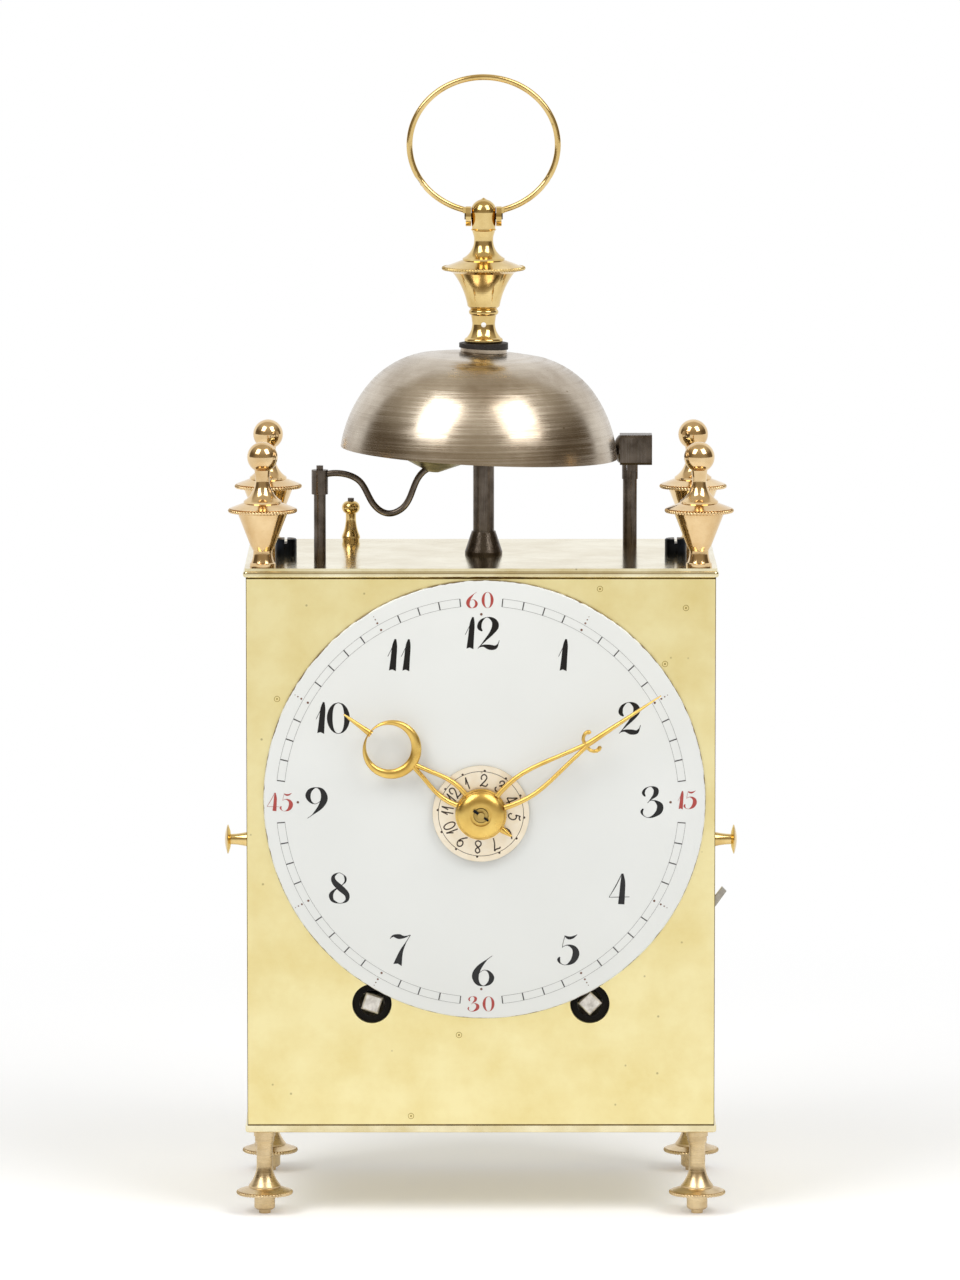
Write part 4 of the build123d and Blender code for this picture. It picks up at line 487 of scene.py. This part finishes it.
six = [[(0.62, 1.0, hair), (0.44, 0.86, 0.03), (0.2, 0.6, 0.12), (0.09, 0.34, 0.16), (0.16, 0.1, 0.1),
        (0.34, 0.005, 0.02), (0.53, 0.1, 0.09), (0.6, 0.28, 0.12), (0.52, 0.46, 0.06), (0.38, 0.53, hair),
        (0.24, 0.46, hair), (0.17, 0.36, hair)]]
digit_strokes = {
    "0": [[(0.34 - 0.27 * sin(radians(a)), 0.5 + 0.49 * cos(radians(a)), hair + 0.115 * sin(radians(a)) ** 2)
           for a in range(0, 361, 30)]],
    "1": [[(0.30, 1.0, 0.04), (0.275, 0.78, 0.115), (0.24, 0.38, 0.135), (0.205, 0.0, 0.16)],
          [(0.29, 0.97, 0.02), (0.19, 0.72, hair), (0.06, 0.45, hair)]],
    "2": [[(0.17, 0.56, 0.03), (0.08, 0.68, 0.1), (0.13, 0.87, 0.07), (0.32, 0.995, hair), (0.52, 0.9, 0.11),
           (0.58, 0.72, 0.16), (0.46, 0.5, 0.1), (0.24, 0.25, 0.04), (0.03, 0.01, hair)],
          [(0.05, 0.04, hair), (0.2, 0.1, 0.05), (0.4, 0.055, 0.12), (0.57, 0.05, 0.09), (0.66, 0.15, 0.03),
           (0.7, 0.27, hair)]],
    "3": [[(0.15, 0.68, 0.03), (0.09, 0.8, 0.07), (0.16, 0.93, 0.04), (0.32, 0.995, hair), (0.48, 0.9, 0.11),
           (0.47, 0.74, 0.11), (0.34, 0.6, 0.04), (0.22, 0.47, hair)],
          [(0.3, 0.55, hair), (0.46, 0.53, 0.04), (0.61, 0.38, 0.14), (0.58, 0.19, 0.14), (0.4, 0.04, 0.06),
           (0.22, 0.005, hair), (0.08, 0.09, 0.03), (0.04, 0.2, 0.06), (0.09, 0.29, 0.03)]],
    "4": [[(0.42, 1.0, 0.02), (0.24, 0.62, 0.03), (0.02, 0.24, hair)],
          [(0.02, 0.235, hair), (0.35, 0.235, 0.02), (0.66, 0.235, hair)],
          [(0.44, 1.0, 0.04), (0.45, 0.72, 0.11), (0.43, 0.36, 0.13), (0.4, 0.0, 0.15)]],
    "5": [[(0.24, 0.98, hair), (0.19, 0.8, hair), (0.15, 0.58, hair)],
          [(0.22, 0.97, hair), (0.34, 0.9, 0.07), (0.47, 0.91, 0.06), (0.62, 1.0, hair)],
          [(0.15, 0.59, hair), (0.32, 0.66, 0.03), (0.52, 0.56, 0.11), (0.58, 0.36, 0.16), (0.48, 0.13, 0.12),
           (0.27, 0.005, 0.02), (0.1, 0.06, 0.03), (0.04, 0.18, 0.07), (0.08, 0.27, 0.03)]],
    "6": six,
    "7": [[(0.02, 0.87, hair), (0.12, 0.96, 0.05), (0.3, 0.94, 0.12), (0.47, 0.93, 0.05), (0.66, 1.0, hair)],
          [(0.66, 1.0, hair), (0.5, 0.72, 0.03), (0.36, 0.42, 0.09), (0.25, 0.0, 0.2)]],
    "8": [[(0.5, 0.9, 0.02), (0.33, 0.995, hair), (0.15, 0.88, 0.07), (0.17, 0.7, 0.12), (0.36, 0.5, 0.15),
           (0.56, 0.3, 0.12), (0.56, 0.1, 0.07), (0.36, 0.0, hair), (0.13, 0.08, 0.07), (0.07, 0.26, 0.1),
           (0.17, 0.42, 0.05), (0.36, 0.55, hair), (0.51, 0.7, 0.04), (0.52, 0.84, 0.05),
           (0.46, 0.93, 0.02)]],
    "9": [[(0.68 - x, 1.0 - y, w) for x, y, w in six[0]]],
}
digit_w = {"0": 0.7, "1": 0.34, "2": 0.68, "3": 0.66, "4": 0.66,
           "5": 0.6, "6": 0.66, "7": 0.66, "8": 0.64, "9": 0.66}


def lettered(name, words, material, place_of, body="case", gap=0.06, wide=1.0, thin=None):
    """One mesh for several numbers, each (text, x, z, height, turn). place_of puts (x, z) on a surface."""
    points = []
    faces = []
    for text, x, z, height, turn in words:
        total = sum(digit_w[d] * wide + gap for d in text) - gap
        at = -total / 2
        for digit in text:
            for line in digit_strokes[digit]:
                if thin:
                    line = [(px, py, thin) for px, py, w in line]
                places, quads = stroke(line, foot_notch if line[-1][2] > 0.15 and digit in "17" else 0.0)
                faces += [tuple(len(points) + i for i in quad) for quad in quads]
                for px, py in places:
                    u = (at + px * wide) * height
                    v = (py - 0.5) * height
                    points.append(place_of(x + u * cos(turn) + v * sin(turn),
                                           z - u * sin(turn) + v * cos(turn)))
            at += digit_w[digit] * wide + gap
    return sheet_object(name, points, faces, material, body)


def painted_at(text, pixel, height):
    """A number for lettered, with its middle on the glaze where the photograph shows it."""
    near = from_photo(*pixel, dial_low.y)
    x, z = from_photo(*pixel, on_dial(*near)[1])
    return text, x, z, height, 0.0


hour_words = [painted_at(str(hour), pixel, numeral_h) for hour, pixel in numeral_pixels.items()]
hours = lettered("dial_hour_numerals", hour_words, black_enamel, on_dial, gap=0.08, wide=1.02)
for name, pixels, height, gap in (
        ("dial_minute_numerals_upright", red_upright_pixels, red_upright_h, 0.28),
        ("dial_minute_numerals_aside", red_aside_pixels, red_aside_h, 0.02)):
    red_words = [painted_at(word, pixel, height) for word, pixel in pixels.items()]
    lettered(name, red_words, red_enamel, on_dial, gap=gap, wide=1.05)
track_line_half_w = 0.045 * mm
track_first = 6
track_sweep = 78
tick_half_w = 0.16 * mm
end_tick_half_w = 0.14 * mm
five_minute_dots = ((55.4, 0.33), (57.5, 0.28), (58.6, 0.2), (59.5, 0.13))
quarter_dot_reach = 52.4
left_quarter_dot_reach = 50.8
quarter_dot_r = 0.36
track_points = []
track_faces = []
tick_points = []
tick_faces = []
dot_points = []
dot_faces = []


def put(points, faces, shape, surface):
    """Adds one flat shape to a mesh that lies on a surface."""
    places, quads = shape
    faces += [tuple(len(points) + i for i in quad) for quad in quads]
    points += [surface(x, z) for x, z in places]


chapter = (chapter_x, chapter_z)
for quarter in range(4):
    start = radians(90 * quarter + track_first)
    for radius in (track_inner_r, track_outer_r):
        put(track_points, track_faces, ring_band(
            chapter, radius - track_line_half_w, radius + track_line_half_w, 60, start,
            radians(track_sweep)), on_dial)
for minute in range(60):
    angle = radians(6 * minute)
    if minute % 5:
        half_w = tick_half_w if minute % 15 not in (1, 14) else end_tick_half_w
        put(tick_points, tick_faces, ring_band(
            chapter, track_inner_r, track_outer_r, 2, angle - half_w / track_inner_r,
            2 * half_w / track_inner_r), on_dial)
        continue
    spots = five_minute_dots
    if minute % 15 == 0:
        spots = ((left_quarter_dot_reach if minute == 45 else quarter_dot_reach, quarter_dot_r),)
    for reach, size in spots:
        spot = (chapter_x + reach * mm * sin(angle), chapter_z + reach * mm * cos(angle))
        put(dot_points, dot_faces, ring_band(spot, 0.0, size * mm, 12), on_dial)
track = sheet_object("dial_minute_circles", track_points, track_faces, grey_enamel)
ticks = sheet_object("dial_minute_strokes", tick_points, tick_faces, dark_grey_enamel)
dots = sheet_object("dial_five_minute_dots", dot_points, dot_faces, brown_enamel)


# Hands: sawn and filed from brass sheet, then gilt with mercury, which leaves a warm, slightly soft gloss.
# The hour hand carries a crescent, and the minute hand has two small curls where its arms meet.
gilt = worked_metal("mercury_gilt_brass", "#EDCB74", "#CFA550", 0.24, 0.34, (6, 6, 6), 9, 0.02)
dress(gilt, "hour_hand", "minute_hand")
alarm_low, alarm_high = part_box("alarm_disc")
hand_x = (alarm_low.x + alarm_high.x) / 2
hand_z = (alarm_low.z + alarm_high.z) / 2
bar_section = ((-1.0, 0.05), (-1.0, 0.4), (-0.8, 0.72), (-0.4, 0.94), (0, 1.0),
               (0.4, 0.94), (0.8, 0.72), (1.0, 0.4), (1.0, 0.05))
hour_angle = radians(306.3)
minute_angle = radians(56.2)


def on_hand(angle, back_y):
    """Carries (across, along, up) in a hand's own frame, in millimetres, onto the clock."""
    return lambda u, v, p: (hand_x + (u * cos(angle) + v * sin(angle)) * mm, back_y - p * mm,
                            hand_z + (v * cos(angle) - u * sin(angle)) * mm)


def loft(points, faces, rings, closed=False):
    """Joins rings of points into a skin, closed on itself or capped at both ends."""
    first = len(points)
    size = len(rings[0])
    for ring in rings:
        points += ring
    for k in range(len(rings) if closed else len(rings) - 1):
        a = first + k * size
        b = first + (k + 1) % len(rings) * size
        faces += [(a + m, a + (m + 1) % size, b + (m + 1) % size, b + m) for m in range(size)]
    if not closed:
        faces.append(tuple(range(first + size - 1, first - 1, -1)))
        faces.append(tuple(range(len(points) - size, len(points))))


def filed_bar(points, faces, path, place, closed=False, thick=0.95):
    """A bar filed to a rounded back along a path of (across, along, half width)."""
    rings = []
    for k, (u, v, w) in enumerate(path):
        before = path[k - 1] if closed or k else path[0]
        after = path[(k + 1) % len(path)] if closed or k + 1 < len(path) else path[k]
        du, dv = after[0] - before[0], after[1] - before[1]
        span = hypot(du, dv) or 1.0
        nu, nv = -dv / span, du / span
        rings.append([place(u + nu * w * aside, v + nv * w * aside, rise * thick)
                      for aside, rise in bar_section])
    loft(points, faces, rings, closed)


def turned_collet(points, faces, profile, place, steps=72):
    """A turned disc round the hands' centre, from its closed (radius, height) outline."""
    rings = []
    for k in range(steps):
        turn = 2 * pi * k / steps
        rings.append([place(r * sin(turn), r * cos(turn), p) for r, p in profile])
    loft(points, faces, rings, closed=True)


def hand_object(name, points, faces, node):
    """The finished mesh of a hand, shown in place of its node."""
    hand = sheet_object(name, points, faces, gilt, node, smooth=True)
    hand.data.set_sharp_from_angle(angle=radians(38))
    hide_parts(node)


hour_points = []
hour_faces = []
hour_place = on_hand(hour_angle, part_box("hour_hand")[1].y)
outer_r = 8.0
outer_v = 30.4
inner_r = 6.35
inner_v = 31.65
crescent_thick = 1.3
crescent = []
for k in range(96):
    turn = 2 * pi * k / 96
    outside = (outer_r * sin(turn), outer_v + outer_r * cos(turn))
    inside = (inner_r * sin(turn), inner_v + inner_r * cos(turn))
    crescent.append(((outside[0] + inside[0]) / 2, (outside[1] + inside[1]) / 2,
                     hypot(outside[0] - inside[0], outside[1] - inside[1]) / 2))
filed_bar(hour_points, hour_faces, crescent, hour_place, closed=True, thick=crescent_thick)
hour_tip = [(0, 37.6, 0.95), (0, 41.0, 0.66), (0, 44.5, 0.5), (0, 47.0, 0.16)]
hour_tail = [(0, -5.8, 1.2), (0, -8.2, 0.8), (0, -10.4, 0.3)]
hour_collet = [(2.8, 0), (7.1, 0), (7.1, 0.9), (6.7, 1.35), (2.8, 1.35)]
filed_bar(hour_points, hour_faces, hour_tip, hour_place)
for side in (-1, 1):
    arm = [(side * u, v, w) for u, v, w in (
        (1.5, 5.5, 0.75), (2.05, 7.2, 0.7), (2.45, 9.0, 0.68), (2.6, 11.0, 0.66), (2.45, 13.5, 0.64),
        (1.95, 16.0, 0.62), (1.3, 18.5, 0.6), (0.75, 21.0, 0.62), (0.3, 23.0, 0.7))]
    filed_bar(hour_points, hour_faces, arm, hour_place)
filed_bar(hour_points, hour_faces, hour_tail, hour_place)
turned_collet(hour_points, hour_faces, hour_collet, hour_place)
hand_object("gilt_hour_hand", hour_points, hour_faces, "hour_hand")

minute_points = []
minute_faces = []
minute_place = on_hand(minute_angle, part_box("minute_hand")[1].y)
minute_tip = [(0, 34.8, 0.6), (0, 36.4, 0.8), (0, 44.0, 0.62), (0, 52.0, 0.44), (0, 59.7, 0.14)]
minute_collet = [(2.1, 0), (6.65, 0), (6.65, 0.5), (6.2, 1.1), (5.3, 1.75), (4.3, 2.1),
                 (3.35, 2.2), (2.95, 2.2), (2.95, 1.0), (2.1, 1.0)]
filed_bar(minute_points, minute_faces, minute_tip, minute_place)
for side in (-1, 1):
    arm = [(side * u, v, w) for u, v, w in (
        (1.9, 6.5, 0.75), (2.5, 8.7, 0.7), (2.95, 11.0, 0.68), (3.25, 13.5, 0.66), (3.3, 16.0, 0.64),
        (3.05, 19.0, 0.62), (2.6, 22.0, 0.6), (2.05, 25.0, 0.6), (1.5, 28.0, 0.58), (0.95, 31.0, 0.58),
        (0.45, 34.0, 0.58), (0.15, 36.2, 0.58))]
    filed_bar(minute_points, minute_faces, arm, minute_place)
    curl = [(side * u, v, w) for u, v, w in (
        (0.3, 35.0, 0.5), (1.0, 34.9, 0.5), (1.8, 35.1, 0.48), (2.5, 35.7, 0.48), (2.9, 36.5, 0.52),
        (2.85, 37.2, 0.6), (2.55, 37.7, 0.62), (2.15, 37.9, 0.3))]
    filed_bar(minute_points, minute_faces, curl, minute_place)
turned_collet(minute_points, minute_faces, minute_collet, minute_place)
hand_object("gilt_minute_hand", minute_points, minute_faces, "minute_hand")


# Alarm disc: brass with a thin rubbed silvering, warm where the silver is worn. Its numbers are cut with a
# graver and filled with dark wax, and its edge is milled for the finger.
silvered = worked_metal("rubbed_silvered_brass", "#FFF6E4", "#F8EACF", 0.42, 0.58,
                        (2.5, 2.5, 2.5), 4, 0.05, 0.5)
dress(silvered, "alarm_disc")
wax_lift = 0.02 * mm
alarm_face_y = alarm_low.y - wax_lift
alarm_first_angle = 305.0
alarm_number_reach = 9.3 * mm
alarm_number_h = 3.4 * mm
alarm_circle_inner_r = 11.7 * mm
alarm_circle_outer_r = 11.85 * mm
alarm_dot_reach = 12.0 * mm
alarm_dot_r = 0.33 * mm
wax = paint("dark_engraving_wax", "#3A2A1C")


def on_alarm(x, z):
    """The point of the alarm disc's face in front of (x, z)."""
    return (x, alarm_face_y, z)


alarm_words = []
for hour in range(1, 13):
    turn = radians(alarm_first_angle + 30 * hour)
    alarm_words.append((str(hour), hand_x + alarm_number_reach * sin(turn),
                        hand_z + alarm_number_reach * cos(turn), alarm_number_h, turn))
engraving = lettered("alarm_disc_numbers", alarm_words, wax, on_alarm, "alarm_disc",
                     gap=0.1, wide=0.9, thin=0.085)
line_points = []
line_faces = []
put(line_points, line_faces,
    ring_band((hand_x, hand_z), alarm_circle_inner_r, alarm_circle_outer_r, 96), on_alarm)
for hour in range(12):
    turn = radians(alarm_first_angle + 30 * hour)
    spot = (hand_x + alarm_dot_reach * sin(turn), hand_z + alarm_dot_reach * cos(turn))
    put(line_points, line_faces, ring_band(spot, 0.0, alarm_dot_r, 12), on_alarm)
alarm_line = sheet_object("alarm_disc_circle", line_points, line_faces, wax, "alarm_disc")
milling_points = []
milling_faces = []
milling_count = 120
milling_out = 0.1 * mm
milling_in = 0.08 * mm
milling_front = 0.05 * mm
milling_back = 0.85 * mm
alarm_r = (alarm_high.x - alarm_low.x) / 2
for k in range(milling_count * 2):
    turn = 2 * pi * k / (milling_count * 2)
    reach = alarm_r + (milling_out if k % 2 else -milling_in)
    for y in (alarm_low.y + milling_front, alarm_low.y + milling_back):
        milling_points.append((hand_x + reach * sin(turn), y, hand_z + reach * cos(turn)))
for k in range(milling_count * 2):
    a, b = 2 * k, 2 * ((k + 1) % (milling_count * 2))
    milling_faces.append((a, b, b + 1, a + 1))
milling = sheet_object("alarm_disc_milled_edge", milling_points, milling_faces, silvered, "alarm_disc")


# Studio: white paper under the clock, two soft boxes in front of it and a pale room. Past the shadow the
# paper is plain white, as the photograph has it.
floor_reach = 14.0
floor_shadow_r = 0.22
floor_plain_r = 0.5
floor_near_glow = 0.2
floor = blank_material("white_studio_paper")
floor_place = add(floor, "ShaderNodeTexCoord").outputs["Object"]
floor_far = add(floor, "ShaderNodeVectorMath", {0: floor_place}, operation="LENGTH").outputs["Value"]
floor_fade = add(floor, "ShaderNodeMapRange", {
    "Value": floor_far, "From Min": floor_shadow_r, "From Max": floor_plain_r},
    interpolation_type="SMOOTHSTEP").outputs[0]
floor_grit = add(floor, "ShaderNodeTexNoise", {"Vector": floor_place, "Scale": 900.0}).outputs[0]
floor_tone = add(floor, "ShaderNodeMixRGB", {
    "Fac": floor_grit, "Color1": linear("#F7F7F7"), "Color2": linear("#F1F1F1")}).outputs[0]
floor_paper = add(floor, "ShaderNodeBsdfDiffuse", {"Color": floor_tone}).outputs[0]
floor_glow = add(floor, "ShaderNodeEmission", {"Color": (1, 1, 1, 1), "Strength": 1.0}).outputs[0]
floor_path = add(floor, "ShaderNodeLightPath")
floor_seen = add(floor, "ShaderNodeMath", {
    0: floor_path.outputs["Is Camera Ray"], 1: floor_path.outputs["Is Glossy Ray"]},
    operation="MAXIMUM").outputs[0]
floor_lift = add(floor, "ShaderNodeMath", {
    0: floor_seen, 1: floor_near_glow}, operation="MULTIPLY").outputs[0]
floor_bounce = add(floor, "ShaderNodeEmission", {"Color": (1, 1, 1, 1), "Strength": floor_lift}).outputs[0]
floor_near = add(floor, "ShaderNodeAddShader", {0: floor_paper, 1: floor_bounce}).outputs[0]
floor_mix = add(floor, "ShaderNodeMath", {0: floor_fade, 1: floor_seen}, operation="MULTIPLY").outputs[0]
floor_shader = add(floor, "ShaderNodeMixShader", {0: floor_mix, 1: floor_near, 2: floor_glow})
add(floor, "ShaderNodeOutputMaterial", {"Surface": floor_shader.outputs[0]})
floor_mesh = bpy.data.meshes.new("studio_floor")
floor_mesh.from_pydata([(-floor_reach, -floor_reach, 0), (floor_reach, -floor_reach, 0),
                        (floor_reach, floor_reach, 0), (-floor_reach, floor_reach, 0)], [], [(0, 1, 2, 3)])
floor_mesh.materials.append(floor)
floor_object = bpy.data.objects.new("studio_floor", floor_mesh)
bpy.context.collection.objects.link(floor_object)

world = bpy.data.worlds.new("studio_room")
world.use_nodes = True
world.node_tree.nodes.clear()
room_way = add(world, "ShaderNodeTexCoord").outputs["Generated"]
room_parts = add(world, "ShaderNodeSeparateXYZ", {0: room_way})
room_aside = add(world, "ShaderNodeMapRange", {
    "Value": room_parts.outputs["Y"], "From Min": -0.75, "From Max": -0.25}).outputs[0]
room_low = add(world, "ShaderNodeMixRGB", {
    "Fac": room_aside, "Color1": linear("#A69A86"), "Color2": linear("#6C604F")}).outputs[0]
room_rise = add(world, "ShaderNodeMapRange", {
    "Value": room_parts.outputs["Z"], "From Min": 0.35, "From Max": 0.85}).outputs[0]
room_tone = add(world, "ShaderNodeMixRGB", {
    "Fac": room_rise, "Color1": room_low, "Color2": linear("#CFC6B6")}).outputs[0]
room_back = add(world, "ShaderNodeMapRange", {
    "Value": room_parts.outputs["Y"], "From Min": 0.38, "From Max": 0.52}).outputs[0]
room_seen = add(world, "ShaderNodeMixRGB", {
    "Fac": room_back, "Color1": room_tone, "Color2": (1, 1, 1, 1)}).outputs[0]
room_path = add(world, "ShaderNodeLightPath")
room_glossy = add(world, "ShaderNodeBackground", {"Color": room_seen, "Strength": 1.0}).outputs[0]
room_plain = add(world, "ShaderNodeBackground", {"Color": (1, 1, 1, 1), "Strength": 0.5}).outputs[0]
room_white = add(world, "ShaderNodeBackground", {"Color": (1, 1, 1, 1), "Strength": 1.0}).outputs[0]
room_first = add(world, "ShaderNodeMixShader", {
    0: room_path.outputs["Is Glossy Ray"], 1: room_plain, 2: room_glossy}).outputs[0]
room_mix = add(world, "ShaderNodeMixShader", {
    0: room_path.outputs["Is Camera Ray"], 1: room_first, 2: room_white})
add(world, "ShaderNodeOutputWorld", {"Surface": room_mix.outputs[0]})
bpy.context.scene.world = world

lamp_away = 1.9
lamp_rise = radians(46)
lamp_aside = radians(45)
lamp_aim = Vector((0, 0, 0.15))
for name, azimuth in (("soft_box_left", -lamp_aside), ("soft_box_right", lamp_aside)):
    lamp = bpy.data.lights.new(name, "AREA")
    lamp.shape = "RECTANGLE"
    lamp.size = 0.9
    lamp.size_y = 1.2
    lamp.energy = 14.0
    spot = Vector((lamp_away * sin(azimuth) * cos(lamp_rise), -lamp_away * cos(azimuth) * cos(lamp_rise),
                   lamp_aim.z + lamp_away * sin(lamp_rise)))
    lamp_object = bpy.data.objects.new(name, lamp)
    lamp_object.location = spot
    lamp_object.rotation_euler = (lamp_aim - spot).to_track_quat("-Z", "Y").to_euler()
    bpy.context.collection.objects.link(lamp_object)
